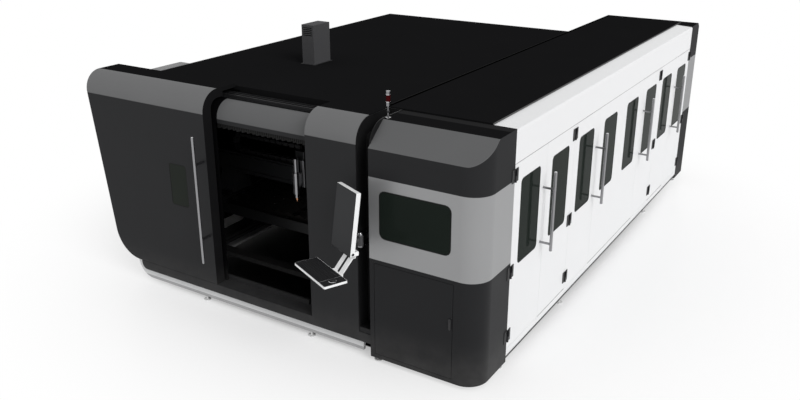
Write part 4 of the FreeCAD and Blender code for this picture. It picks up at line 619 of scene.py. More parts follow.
class TileTree(RepeatTree):
    """Tapered tiles, such as key caps or bristles."""

    def __init__(self, upright: float = 0.9) -> None:
        """Args:
        upright: the least Z of the normal of a face that counts as a top.
        """
        super().__init__("tapered_tiles", {"Size": "Vector", "Taper": "Float"})
        tile = self.add("GeometryNodeMeshCube", {"Size": self.given["Size"]})
        facing = self.xyz(self.add("GeometryNodeInputNormal").outputs[0])["Z"]
        top = self.add("FunctionNodeCompare", {"A": facing, "B": upright}, data_type="FLOAT",
                       operation="GREATER_THAN")
        taper = self.add("GeometryNodeScaleElements", {
            "Geometry": tile.outputs["Mesh"], "Selection": top.outputs["Result"],
            "Scale": self.given["Taper"]})
        self.end(taper.outputs["Geometry"])


# ---------------------------------------------------------------- closed shapes

CLEAR = 0.0001


def rounded_loop(box: Box, radius: float, steps: int = 5, inset: float = 0.0) -> Loop:
    """A rectangle with round corners, anticlockwise.

    Args:
        box: its left, foot, right and top, before the inset.
        radius: of the corners.
        steps: chords in each corner's quarter turn.
        inset: how far all sides are moved in.

    Returns:
        The loop's points.
    """
    left, foot = (side + inset + radius for side in box[:2])
    right, top = (side - inset - radius for side in box[2:])
    loop = []
    for quarter, (x, y) in enumerate(((right, top), (left, top), (left, foot), (right, foot))):
        for step in range(steps + 1):
            turn = math.radians(90.0 * quarter + 90.0 * step / steps)
            loop.append((x + radius * math.cos(turn), y + radius * math.sin(turn)))
    return loop


def circle(radius: float, steps: int = 28, start: float = 0.0) -> Loop:
    """A round loop about the origin, anticlockwise from a starting turn."""
    turns = [math.tau * step / steps + start for step in range(steps)]
    return [(radius * math.cos(turn), radius * math.sin(turn)) for turn in turns]


def ray_circle(loop: Loop, centre: Pair, radius: float) -> Loop:
    """A circle with one point towards each point of a loop round it.

    Args:
        loop: the loop.
        centre: of the circle.
        radius: of the circle.

    Returns:
        The circle's points, in the loop's order.
    """
    points = []
    for x, y in loop:
        reach = math.hypot(x - centre[0], y - centre[1])
        points.append((centre[0] + (x - centre[0]) * radius / reach,
                       centre[1] + (y - centre[1]) * radius / reach))
    return points


def stacked(rows: list[tuple[Loop, float]], hollow: bool = False) -> Shape:
    """A closed solid through loops at different heights.

    Args:
        rows: loop and height, upwards along the outside and, in a hollow one, down the inside.
        hollow: whether the last loop joins the first, which leaves a hole through the middle.

    Returns:
        Its corners and its faces, which look outward.
    """
    count = len(rows[0][0])
    corners = [(x, y, z) for loop, z in rows for x, y in loop]
    faces = []
    for row in range(len(rows) if hollow else len(rows) - 1):
        above = (row + 1) % len(rows)
        for here in range(count):
            after = (here + 1) % count
            faces.append((row * count + here, row * count + after,
                          above * count + after, above * count + here))
    if not hollow:
        faces.append(tuple(reversed(range(count))))
        faces.append(tuple(range((len(rows) - 1) * count, len(rows) * count)))
    return corners, faces


def turned(profile: Profile, hollow: bool = False) -> Shape:
    """A round solid through radii at different heights."""
    return stacked([(circle(radius), height) for radius, height in profile], hollow)


def prism(loop: Loop, low: float, high: float) -> Shape:
    """A loop's solid between two heights."""
    return stacked([(loop, low), (loop, high)])


def plate(box: Box, corner: float, steps: int, top: float, chamfer: Pair) -> Shape:
    """A plate with a chamfered upper edge.

    Args:
        box: its left, foot, right and top.
        corner: radius of its corners.
        steps: chords in each corner's quarter turn.
        top: its thickness.
        chamfer: how far the edge goes in, and how far down.

    Returns:
        The plate.
    """
    foot, rim = (rounded_loop(box, corner, steps, inset) for inset in (0.0, chamfer[0]))
    return stacked([(foot, CLEAR), (foot, top - chamfer[1]), (rim, top)])


def ring(outer: Loop, inner: Loop, low: float, high: float) -> Shape:
    """A flat ring between two loops of equally many points."""
    return stacked([(outer, low), (outer, high), (inner, high), (inner, low)], hollow=True)


def bossed(radius: float, height: float, edge: float, low: float = 0.0) -> Shape:
    """A turned disc with a chamfered upper edge."""
    return turned(((radius, low), (radius, low + height - edge), (radius - edge, low + height)))


def looking(axis: Axis, origin: Point) -> Matrix:
    """The placing of a local frame whose Z looks along an axis and whose Y is upright.

    Args:
        axis: where local Z looks.
        origin: where the local origin lies.

    Returns:
        The matrix from local to row coordinates.
    """
    out = axis.vector
    up = (Axis.REAR if axis in (Axis.UP, Axis.DOWN) else Axis.UP).vector
    turn = Matrix((up.cross(out), up, out)).transposed()
    return Matrix.Translation(origin) @ turn.to_4x4()


# ---------------------------------------------------------------- handing in


@dataclass(frozen=True)
class Part:
    """What a piece is called, what it is made of and the CAD body it moves with."""

    name: str
    finish: Finish
    body: str = "root"


class Kit:
    """What every sub-assembly builds with: materials, trees and the way a piece is put on its
    body.
    """

    def __init__(self) -> None:
        """Builds the shared trees."""
        self.groups = ShaderGroups()
        self.screws = ScrewTree()
        self.tiles = TileTree()
        self._made: dict[str, bpy.types.Material] = {}

    def material(self, finish: Finish) -> bpy.types.Material:
        """Gives a finish's material, built on its first use.

        Args:
            finish: the finish.

        Returns:
            The material.
        """
        if finish.name not in self._made:
            self._made[finish.name] = finish.material(self.groups)
        return self._made[finish.name]

    def dress(self, frame: dict, finishes: dict[str, Finish]) -> None:
        """Gives CAD nodes their materials.

        Args:
            finishes: node name to finish.
        """
        for node, finish in finishes.items():
            mesh = frame["nodes"][node].data
            mesh.materials.clear()
            mesh.materials.append(self.material(finish))
            LOG.info("dressed %s in %s", node, finish.name)

    def hand_in(self, piece: bpy.types.Object, part: Part) -> None:
        """Puts a finished piece, which is in place, on its body.

        Args:
            piece: the piece.
            part: its body and finish.
        """
        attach(piece, part.body)
        LOG.info("made %s on %s, %d faces", piece.name, part.body, len(piece.data.polygons))

    def repeat(self, part: Part, tree: RepeatTree, places: list[Point], turn: object,
               **sizes: object) -> None:
        """Sets a repeated shape at given places.

        Args:
            part: the piece.
            tree: which shape.
            places: where each one stands.
            turn: Euler angles of every one.
            sizes: the shape's sizes, with underscores for spaces.
        """
        values = {name.replace("_", " "): size for name, size in sizes.items()}
        values |= {"Turn": turn, "Material": self.material(part.finish)}
        self.hand_in(tree.run(part.name, places, values), part)

    def screw_row(self, part: Part, places: list[Point], facing: Axis, radius: float,
                  height: float, socket: float = 0.55) -> None:
        """Sets screws at given places.

        Args:
            part: the piece.
            places: where each head sits, on the surface.
            facing: the way the heads look.
            radius: of a head.
            height: of a head.
            socket: the socket's radius as a share of the head's.
        """
        turn = Axis.UP.vector.rotation_difference(facing.vector).to_euler()
        self.repeat(part, self.screws, places, turn, Head_Radius=radius, Head_Height=height,
                    Socket_Share=socket)

    def solid(self, part: Part, shapes: Placed) -> None:
        """Builds one piece of several closed shapes.

        Args:
            part: the piece.
            shapes: each shape with its placing.
        """
        corners: list[Vector] = []
        faces: list[tuple[int, ...]] = []
        for (points, loops), place in shapes:
            first = len(corners)
            corners.extend(place @ Vector(point) for point in points)
            faces.extend(tuple(first + index for index in loop) for loop in loops)
        mesh = bpy.data.meshes.new(part.name)
        mesh.from_pydata(corners, [], faces)
        mesh.materials.append(self.material(part.finish))
        self.hand_in(stand(part.name, mesh), part)


# ---------------------------------------------------------------- the studio


@dataclass
class Studio:
    """Camera, lamp, floor with a painted shadow under the machine, and background."""

    camera_place: Point = (4.8742, -8.5009, 4.1672)
    right: Point = (0.849632, 0.527375, 0.000744)
    down: Point = (0.187072, -0.300066, -0.935395)
    forward: Point = (-0.493081, 0.794881, -0.353603)
    focal_pixels: float = 832.64
    centre_pixels: Pair = (401.76, 187.78)
    sensor: float = 36.0
    sight: float = 200.0
    ambient: float = 0.6
    sun_energy: float = 1.6
    sun_from: Point = (0.78, -0.30, 0.62)
    sun_angle: float = 35.0
    sun_distance: float = 12.0
    floor_size: float = 60.0
    floor_colour: Colour = (0.95, 0.95, 0.955)
    floor_roughness: float = 0.32
    floor_gloss: float = 0.25
    fade_start: float = 1.2
    fade_end: float = 5.4
    # The painted shadow on the floor under the machine: its dark colour, how far inside each
    # footprint it starts, and how soft its edge is.
    painted_shadow_colour: Colour = (0.004, 0.004, 0.004)
    painted_shadow_inset: float = 0.14
    painted_shadow_edge: float = 0.02

    def build(self, centre: Vector, footprints: list[tuple[Vector, Vector]]) -> None:
        """Builds the studio round the object.

        Args:
            centre: the middle of the object's box.
            footprints: the corners of the boxes that stand on the floor.
        """
        self._camera()
        self._world()
        self._lamp(centre)
        self._floor(centre, footprints)

    def _camera(self) -> None:
        """Stands the camera where the photograph was taken from."""
        data = bpy.data.cameras.new("camera")
        data.sensor_width = self.sensor
        data.lens = self.focal_pixels * self.sensor / IMAGE_WIDTH
        data.shift_x = (IMAGE_WIDTH / 2 - self.centre_pixels[0]) / IMAGE_WIDTH
        data.shift_y = (self.centre_pixels[1] - IMAGE_HEIGHT / 2) / IMAGE_WIDTH
        data.clip_end = self.sight
        camera = stand("camera", data)
        turn = Matrix((self.right, [-part for part in self.down],
                       [-part for part in self.forward])).transposed()
        camera.matrix_world = Matrix.Translation(self.camera_place) @ turn.to_4x4()
        bpy.context.scene.camera = camera

    def _world(self) -> None:
        """A plain ambient light that camera, gloss and glass see as white."""
        world = bpy.data.worlds.new("studio")
        bpy.context.scene.world = world
        world.use_nodes = True
        sheet, nodes = NodeSheet(world.node_tree), world.node_tree.nodes
        sheet.fill(nodes["Background"].inputs, Color=WHITE, Strength=self.ambient)
        white = sheet.add("ShaderNodeBackground", {"Color": WHITE})
        self._split(sheet, self._seen(sheet), nodes["Background"], white, nodes["World Output"])

    @staticmethod
    def _seen(sheet: NodeSheet) -> Socket:
        """Picks out the rays that see the white background.

        Args:
            sheet: the nodes.

        Returns:
            A mask, 1 for camera, glossy and transmission rays.
        """
        path = sheet.add("ShaderNodeLightPath").outputs
        first = sheet.calc("MAXIMUM", path["Is Camera Ray"], path["Is Glossy Ray"])
        return sheet.calc("MAXIMUM", first, path["Is Transmission Ray"])

    @staticmethod
    def _split(sheet: NodeSheet, factor: Socket, plain: bpy.types.Node, seen: bpy.types.Node,
               end: bpy.types.Node) -> None:
        """Mixes two shaders into an output.

        Args:
            sheet: the nodes.
            factor: 0 gives plain and 1 gives seen.
            plain: the first shader.
            seen: the second shader.
            end: the output.
        """
        mixer = sheet.add("ShaderNodeMixShader", {0: factor, 1: plain.outputs[0],
                                                  2: seen.outputs[0]})
        sheet.feed(end.inputs["Surface"], mixer.outputs[0])

    def _lamp(self, centre: Vector) -> None:
        """One broad soft sun from the right, front and above."""
        data = bpy.data.lights.new("soft_sun", "SUN")
        data.energy = self.sun_energy
        data.angle = math.radians(self.sun_angle)
        lamp = stand("soft_sun", data)
        away = Vector(self.sun_from).normalized()
        lamp.location = centre + away * self.sun_distance
        lamp.rotation_mode = "QUATERNION"
        lamp.rotation_quaternion = away.to_track_quat("Z", "Y")

    def _painted_shadow(self, sheet: NodeSheet, place: bpy.types.NodeOutputs,
               footprint: tuple[Vector, Vector]) -> Socket:
        """Works out where the painted shadow lies under a box.

        Args:
            sheet: the floor's nodes.
            place: the floor's coordinates.
            footprint: the box's corners.

        Returns:
            A mask, 1 under the box.
        """
        under: object = 1.0
        for axis, low, high in zip("XY", *footprint):
            reach = (high - low) / 2 - self.painted_shadow_inset
            shift = sheet.calc("SUBTRACT", place[axis], (high + low) / 2)
            edge = sheet.step(sheet.calc("ABSOLUTE", shift), reach, reach + self.painted_shadow_edge)
            under = sheet.calc("MULTIPLY", sheet.flip(edge), under)
        return under

    def _floor(self, centre: Vector, footprints: list[tuple[Vector, Vector]]) -> None:
        """A pale floor with a painted shadow under the machine, which fades to the white
        background.

        Args:
            centre: the middle of the object's box.
            footprints: the corners of the boxes that stand on the floor.
        """
        half = self.floor_size / 2
        mesh = bpy.data.meshes.new("floor")
        mesh.from_pydata([(-half, -half, 0.0), (half, -half, 0.0), (half, half, 0.0),
                          (-half, half, 0.0)], [], [(0, 1, 2, 3)])
        floor = stand("floor", mesh)
        block = bpy.data.materials.new("studio_floor")
        block.use_nodes = True
        sheet, nodes = NodeSheet(block.node_tree), block.node_tree.nodes
        shader = nodes["Principled BSDF"]
        place = sheet.add("ShaderNodeTexCoord").outputs["Object"]
        apart = sheet.xyz(place)
        # Painted shadow: the floor's colour turns dark under each footprint.
        under: object = 0.0
        for footprint in footprints:
            under = sheet.calc("MAXIMUM", self._painted_shadow(sheet, apart, footprint), under)
        sheet.fill(shader.inputs, Roughness=self.floor_roughness,
                   Specular_IOR_Level=self.floor_gloss,
                   Base_Color=sheet.mix(under, self.floor_colour, self.painted_shadow_colour))
        off = sheet.vector("DISTANCE", first=place, second=(centre.x, centre.y, 0.0))
        far = sheet.calc("MULTIPLY", sheet.flip(under),
                         sheet.step(off["Value"], self.fade_start, self.fade_end))
        self._split(sheet, sheet.calc("MULTIPLY", far, self._seen(sheet)), shader,
                    sheet.add("ShaderNodeEmission"), nodes["Material Output"])
        mesh.materials.append(block)
        floor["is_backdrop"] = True


# ---------------------------------------------------------------- finishes of this machine

GRAPHITE: Colour = (0.0205, 0.0208, 0.022)
CABINET: Colour = (0.0168, 0.0171, 0.0182)
STEP_GREY: Colour = (0.021, 0.021, 0.0215)
# Painted reflection: the greys of the bright surroundings seen on the curved hood, the header and
# the sloping chamfers.
HOOD_REFLECTION_GREY: Colour = (0.149, 0.15, 0.152)
BAND_REFLECTION_GREY: Colour = (0.114, 0.115, 0.117)
SILVER: Colour = (0.292, 0.294, 0.298)
BLACK: Colour = (0.009, 0.009, 0.0095)
# Painted shade: near black put on inner faces, recesses, jambs and gaps where shade falls.
PAINTED_SHADE: Colour = (0.0025, 0.0025, 0.0028)
SEAM_GREY: Colour = (0.2, 0.2, 0.2)
EDGE_GREY: Colour = (0.1, 0.1, 0.1)
RIM_HIGHLIGHT_GREY: Colour = (0.03, 0.03, 0.03)
GROOVE_SHADE_BLACK: Colour = (0.0006, 0.0006, 0.0006)
WHITE_COAT: Colour = (0.78, 0.783, 0.79)
PALE_COAT: Colour = (0.72, 0.725, 0.73)
PALE_DUST: Colour = (0.6, 0.6, 0.6)
DARK_FITTING: Colour = (0.012, 0.012, 0.013)
STEM_STEEL: Colour = (0.3, 0.3, 0.31)

# Heights above the floor.
HOOD_BAND_LOW = 2.035
HOOD_TOP_LOW = 2.1
HEADER_BAND_LOW = 1.971
CHAMFER_LOW = 2.034
TIER_LOW, TIER_HIGH = 1.031, 1.787
PLINTH_SHADE_TOP = 0.078
KICK_SEAM = 0.17
DUCT_FLANGE_TOP = 2.223
DOORWAY_TOP = 1.925

# Depths behind a front face: the middle of the band of painted reflection on the curve, half its
# depth, and where the black top starts.
HOOD_BAND = (0.105, 0.1045, 0.208)
HEADER_BAND = (0.0825, 0.082, 0.163)
HEADER_SKIN = 0.01

# Behind the roof plate's end: the middle and half the width of the painted shade of its groove and
# of the painted highlight on its edge.
PLATE_GROOVE_SHADE = (0.021, 0.015)
PLATE_RIM_HIGHLIGHT = (0.002, 0.0025)

# Half the widths of seams and of the arm's dark stretches.
SEAM_HALF = 0.0015
KICK_HALF = 0.0025
LINK_GAP_HALF = 0.0135
ARM_END_HALF = 0.11

# How far the tone of a pale coat drifts.
WHITE_DRIFT = 0.02
PALE_DRIFT = 0.04

# Distances from an edge of a node's box.
JAMB_WIDTH = 0.034
STEP_WIDTH = 0.11
PLATE_EDGE = 1.046
DOOR_END = 0.0035
TOP_SKIN = 0.003
LEAF_SKIN = 0.0005
FRAME_SKIN = 0.022
WALL_SKIN = 0.027
FLANGE_SKIN = 0.001
HOUSING_TOP = 0.08

# The cabinets' chamfer, the doorway's sides, and the arm's pivot, directions and gap at rest.
CHAMFER_RUN, CHAMFER_RISE = 0.198, 0.239
DOORWAY_LEFT, DOORWAY_RIGHT = -0.6975, 0.4925
ARM_PIVOT: Point = (1.1015, -3.09717, 0.0)
ARM_REACH: Point = (0.4226, 0.9063, 0.0)
ARM_ACROSS: Point = (0.9063, -0.4226, 0.0)
LINK_GAP: Point = (1.2365, -3.1602, 0.0)


def beyond(axis: Axis, place: float, colour: Colour, reach: float = 5.0,
           floor: float = UNDERGROUND, roof: float = SKY, matt: bool = False) -> Zone:
    """The zone past a plane, on the side that the axis looks to.

    Args:
        axis: the plane's normal.
        place: the plane's coordinate on that axis's line.
        colour: of the zone.
        reach: how far past the plane it runs.
        floor: its lowest height.
        roof: its greatest height.
        matt: whether it has no gloss.

    Returns:
        The zone.
    """
    shift = sum(axis.value) * (reach + Zone.soft_edge)
    middle = tuple(abs(part) * (place + shift) for part in axis.value)
    return Zone(middle, axis.value, reach, colour, floor, roof, matt)


def across(axis: Axis, place: float, half: float, colour: Colour,
           floor: float = UNDERGROUND) -> Zone:
    """The zone that lies within half its width of a plane across an axis."""
    return Zone(tuple(abs(part) * place for part in axis.value), axis.value, half, colour, floor)


def satin(name: str, colour: Colour, *zones: Zone) -> PaintFinish:
    """A dark coat with little gloss."""
    return PaintFinish(name, colour, gloss=0.08, zones=zones)


def bright(name: str, colour: Colour, drift: float, *zones: Zone, **dust: object) -> PaintFinish:
    """A pale coat with some gloss."""
    return PaintFinish(name, colour, 0.4, gloss=0.2, drift=drift, zones=zones, **dust)


class Paintwork:
    """Every finish on the machine, with its zones of other paint and of painted shade, reflection
    and highlight placed by the frame.
    """

    def __init__(self) -> None:
        """Mixes the finishes that fittings share, then those of the CAD nodes."""
        self.nodes: dict[str, Finish] = {}
        self.silver = PaintFinish("silver_band", SILVER, 0.36, gloss=0.5, metal=0.4)
        self.chrome = SteelFinish("polished_steel", (0.75, 0.75, 0.76), 0.12, lines=0.08)
        self.copper = SteelFinish("turned_copper", (0.6, 0.3, 0.17), 0.25,
                                  stretch=(20.0, 20.0, 1500.0))
        self.bolt = SteelFinish("black_bolt", (0.03, 0.03, 0.032), 0.4, metal=0.6)
        self.black = MouldedFinish("black_fitting", DARK_FITTING, 0.45)
        self.key = MouldedFinish("black_keys", (0.011, 0.011, 0.012), 0.6, gloss=0.15)
        self.rubber = MouldedFinish("door_rubber", (0.008, 0.008, 0.008), 0.7, gloss=0.2)
        self._front()
        self._cabinets()
        self._roofs()
        self._sides()
        self._inside()
        self._fittings()

    def _wear(self, nodes: str, finish: Finish) -> None:
        """Gives CAD nodes a finish.

        Args:
            nodes: their names, where a star stands for each side door's number.
            finish: what they wear.
        """
        for node in nodes.split():
            for number in "1234":
                self.nodes[node.replace("*", number)] = finish

    def _front(self) -> None:
        """The hood, the sliding door and the header, each with a grey band of painted reflection
        on its curve and a black top.
        """
        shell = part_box("sliding_door_shell")
        face, header = shell[0].y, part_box("header_hood")[0].y
        middle, half, top = HOOD_BAND
        # The hood's grey band is a painted reflection on its curve.
        hood = (across(Axis.FRONT, face + middle, half, HOOD_REFLECTION_GREY, floor=HOOD_BAND_LOW),
                beyond(Axis.REAR, face + top, BLACK, 1.0, floor=HOOD_TOP_LOW, matt=True))
        self._wear("right_front_panel", satin("hood_graphite", GRAPHITE, *hood))
        self._wear("sliding_door_shell", satin(
            "door_graphite", GRAPHITE, *hood,
            beyond(Axis.RIGHT, shell[1].x - DOOR_END, BLACK, 0.1, matt=True)))
        middle, half, top = HEADER_BAND
        self._wear("header_hood", satin(
            "header_graphite", GRAPHITE,
            # The header's grey band is a painted reflection on its curve.
            across(Axis.FRONT, header + middle, half, BAND_REFLECTION_GREY, floor=HEADER_BAND_LOW),
            beyond(Axis.REAR, header + top, BLACK, 1.0, floor=HEADER_BAND_LOW, matt=True),
            # Painted shade on the header's faces behind its front and on the doorway's left jamb.
            beyond(Axis.REAR, header + HEADER_SKIN, PAINTED_SHADE, roof=HEADER_BAND_LOW, matt=True),
            beyond(Axis.LEFT, DOORWAY_LEFT + JAMB_WIDTH, PAINTED_SHADE, matt=True)))
        self._wear("groove_channel", PaintFinish(
            "black_channel", (0.011, 0.011, 0.0115), 0.3, gloss=0.15, dust=0.0))
        self._wear("door_track", PaintFinish(
            "dark_track", (0.014, 0.014, 0.015), 0.4, gloss=0.1, peel=0.0, dust=0.0))

    def _cabinets(self) -> None:
        """The front and the rear cabinet, with chamfers painted grey as a reflection, and black
        tops.
        """
        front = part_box("front_cabinet_upper")
        cover = front[1].z - TOP_SKIN
        black_top = beyond(Axis.UP, cover, BLACK, 0.1, matt=True)
        # The chamfers' grey is a painted reflection on the sloping faces.
        chamfers = [Zone((0.0, face, CHAMFER_LOW), (0.0, way * CHAMFER_RUN, CHAMFER_RISE),
                         TOP_SKIN, BAND_REFLECTION_GREY, floor=CHAMFER_LOW)
                    for face, way in ((front[0].y, -1), (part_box("rear_cabinet")[1].y, 1))]
        self._wear("front_cabinet_upper", satin(
            "cabinet_graphite", CABINET, chamfers[0], black_top,
            beyond(Axis.REAR, front[1].y - STEP_WIDTH, STEP_GREY, 1.0, floor=cover)))
        self._wear("rear_cabinet", satin(
            "rear_cabinet_coat", CABINET,
            across(Axis.UP, (TIER_LOW + TIER_HIGH) / 2, (TIER_HIGH - TIER_LOW) / 2, SILVER),
            chamfers[1], black_top))
        self._wear("front_cabinet_lower cabinet_door", satin("plain_graphite", CABINET))
        self._wear("front_cabinet_band", self.silver)

    def _roofs(self) -> None:
        """The matt roof with the painted shade of a groove and a painted highlight on the edge
        beside its plate, and the duct.
        """
        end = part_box("main_roof")[1].x
        plate_end = end - PLATE_EDGE
        (groove, groove_shade_half), (rim, rim_highlight_half) = PLATE_GROOVE_SHADE, PLATE_RIM_HIGHLIGHT
        self._wear("main_roof", PaintFinish(
            "matt_black_roof", BLACK, 0.6, gloss=0.0, dust=0.0,
            # Beside the plate: painted shade in the groove and a painted highlight on the plate's
            # edge.
            zones=(across(Axis.LEFT, plate_end + groove, groove_shade_half, GROOVE_SHADE_BLACK),
                   beyond(Axis.RIGHT, end - TOP_SKIN, EDGE_GREY, 0.1),
                   across(Axis.LEFT, plate_end + rim, rim_highlight_half, RIM_HIGHLIGHT_GREY))))
        self._wear("exhaust_duct", PaintFinish(
            "duct_grey", (0.066, 0.066, 0.069), gloss=0.05, dust=0.0,
            zones=(beyond(Axis.DOWN, DUCT_FLANGE_TOP + FLANGE_SKIN, BLACK, 0.1, matt=True),)))

    def _sides(self) -> None:
        """The white right side, the plinth and the pale walls; the plinth's lower part and the
        inner faces of the frame and walls get painted shade.
        """
        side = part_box("side_frame")[1]
        worn = {"dust": 0.05, "dust_colour": PALE_DUST}
        seam = across(Axis.UP, side.z, SEAM_HALF, SEAM_GREY)
        self._wear("booth_top_band", bright("pale_strip", WHITE_COAT, WHITE_DRIFT, seam, dust=0.0))
        self._wear("side_frame", bright(
            "white_frame", WHITE_COAT, WHITE_DRIFT, seam,
            across(Axis.UP, KICK_SEAM, KICK_HALF, SEAM_GREY),
            # Painted shade on the frame's inner faces and on the toe recess along its foot.
            beyond(Axis.LEFT, side.x - FRAME_SKIN, PAINTED_SHADE, 0.2), **worn))
        self._wear("side_door_*_panel", bright(
            "white_doors", WHITE_COAT, WHITE_DRIFT,
            beyond(Axis.RIGHT, side.x + LEAF_SKIN, DARK_FITTING, 0.1, matt=True), **worn))
        self._wear("base_casing", bright(
            "pale_plinth", PALE_COAT, PALE_DRIFT,
            # Painted shade: the plinth is darker below this height.
            beyond(Axis.DOWN, PLINTH_SHADE_TOP, (0.42, 0.42, 0.425), 0.2)))
        self._wear("left_wall", bright(
            "left_wall_coat", PALE_COAT, PALE_DRIFT,
            beyond(Axis.UP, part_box("left_wall")[1].z - HOUSING_TOP, (0.13, 0.13, 0.132), 0.2),
            # Painted shade on the left wall's inner faces.
            beyond(Axis.RIGHT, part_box("base_casing")[0].x + WALL_SKIN, PAINTED_SHADE)))
        self._wear("rear_wall", bright(
            "rear_wall_coat", PALE_COAT, PALE_DRIFT,
            # Painted shade on the rear wall's inner faces.
            beyond(Axis.FRONT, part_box("scrap_drawer")[1].y - WALL_SKIN, PAINTED_SHADE)))

    def _inside(self) -> None:
        """The bed, the table, the gantry and the tube unit, in dark enamel and steel whose colours
        are darkened further as painted shade inside the enclosure.
        """
        # Painted shade: the bed's, gantry's and slats' colours are darker than their paint and
        # steel, for the enclosure's shade.
        self._wear("bed_frame laser_source table_frame tube_bed rear_chuck_carriage scrap_drawer",
                   PaintFinish("machine_enamel_painted_shade", (0.005, 0.0052, 0.0055), 0.4, gloss=0.2))
        self._wear("gantry_beam gantry_carriage",
                   PaintFinish("gantry_enamel_painted_shade", (0.014, 0.0145, 0.0155), 0.35, gloss=0.3))
        self._wear("gantry_rails sliding_door_shoes front_chuck_ring rear_chuck_ring",
                   SteelFinish("ground_rail", (0.12, 0.12, 0.125), 0.3,
                               stretch=(900.0, 6.0, 900.0)))
        self._wear("table_slats", SteelFinish(
            "cut_slats_painted_shade", (0.03, 0.028, 0.027), 0.5, stretch=(8.0, 600.0, 600.0), lines=0.5))
        self._wear("cable_chain", MouldedFinish("chain_nylon", DARK_FITTING, 0.5))
        self._wear("nozzle", self.copper)

    def _fittings(self) -> None:
        """Handles, glass, the lamp, the feet and the operator panel."""
        self._wear("sliding_door_handle cutting_head side_door_*_handle",
                   SteelFinish("brushed_bar", (0.34, 0.34, 0.35)))
        self._wear("side_panes side_door_*_pane",
                   GlassFinish("laser_glass", (0.017, 0.023, 0.019), clear=0.3, gloss=0.08))
        self._wear("sliding_door_window",
                   GlassFinish("door_glass", (0.025, 0.0285, 0.0245), gloss=0.08))
        self._wear("monitor_screen", GlassFinish("screen_glass", (0.055, 0.056, 0.058), 0.35,
                                                 gloss=0.1))
        self._wear("stack_light_lens", GlassFinish("red_lens", (0.06, 0.0025, 0.0035), 0.12,
                                                   clear=0.3))
        self._wear("stack_light_base", SteelFinish("lamp_steel", STEM_STEEL, 0.16, lines=0.5))
        self._wear("hmi_bracket", SteelFinish("bracket_steel", STEM_STEEL, 0.2, lines=0.5))
        self._wear("hmi_arm", PaintFinish(
            "arm_coat", (0.92, 0.922, 0.925), 0.35, gloss=0.3, drift=0.03, dust=0.0,
            # Painted shade in the gap between the arm's links.
            zones=(Zone(LINK_GAP, ARM_ACROSS, LINK_GAP_HALF, PAINTED_SHADE),
                   Zone(ARM_PIVOT, ARM_REACH, ARM_END_HALF, (0.05, 0.05, 0.052)))))
        self._wear("monitor_housing keyboard_tray",
                   MouldedFinish("white_housing", (0.86, 0.865, 0.87), 0.35))
        self._wear("levelling_feet", MouldedFinish("pale_foot", (0.7, 0.7, 0.7), 0.5))
        self._wear("keypad", self.key)
        self._wear("door_hinges cabinet_lock push_button", self.black)


# ---------------------------------------------------------------- sub-assemblies

BAR_RADIUS = 0.014
CAP_RADIUS = BAR_RADIUS - 0.0015
CAP_HEIGHT, CAP_EDGE = 0.004, 0.003


@dataclass
class SubAssembly:
    """A group of pieces that belong together on the machine."""

    kit: Kit
    paint: Paintwork

    def gasket(self, name: str, pane: Box, corner: float, place: Matrix, body: str = "root",
               width: float = 0.008, edge: float = 0.0006, thick: float = 0.0016) -> None:
        """Lays a rubber gasket along the edge of a pane.

        Args:
            name: the piece's name.
            pane: its left, foot, right and top in the local frame.
            corner: radius of the pane's corners.
            place: the local frame, on the pane's outer face.
            body: the CAD body it rides on.
            width: of the gasket.
            edge: how far it stays inside the pane's edge.
            thick: of the gasket.
        """
        outer, inner = (rounded_loop(pane, corner - inset, inset=inset)
                        for inset in (edge, edge + width))
        self.kit.solid(Part(name, self.paint.rubber, body),
                       [(ring(outer, inner, CLEAR, thick), place)])

    @staticmethod
    def bar_caps(x: float, y: float, low: float, high: float) -> Placed:
        """Caps on the ends of an upright handle bar.

        Args:
            x: of the bar's middle.
            y: of the bar's middle.
            low: its lower end.
            high: its upper end.

        Returns:
            The caps with their placings.
        """
        return [(bossed(CAP_RADIUS, CAP_HEIGHT, CAP_EDGE), looking(axis, (x, y, z)))
                for axis, z in ((Axis.UP, high), (Axis.DOWN, low))]


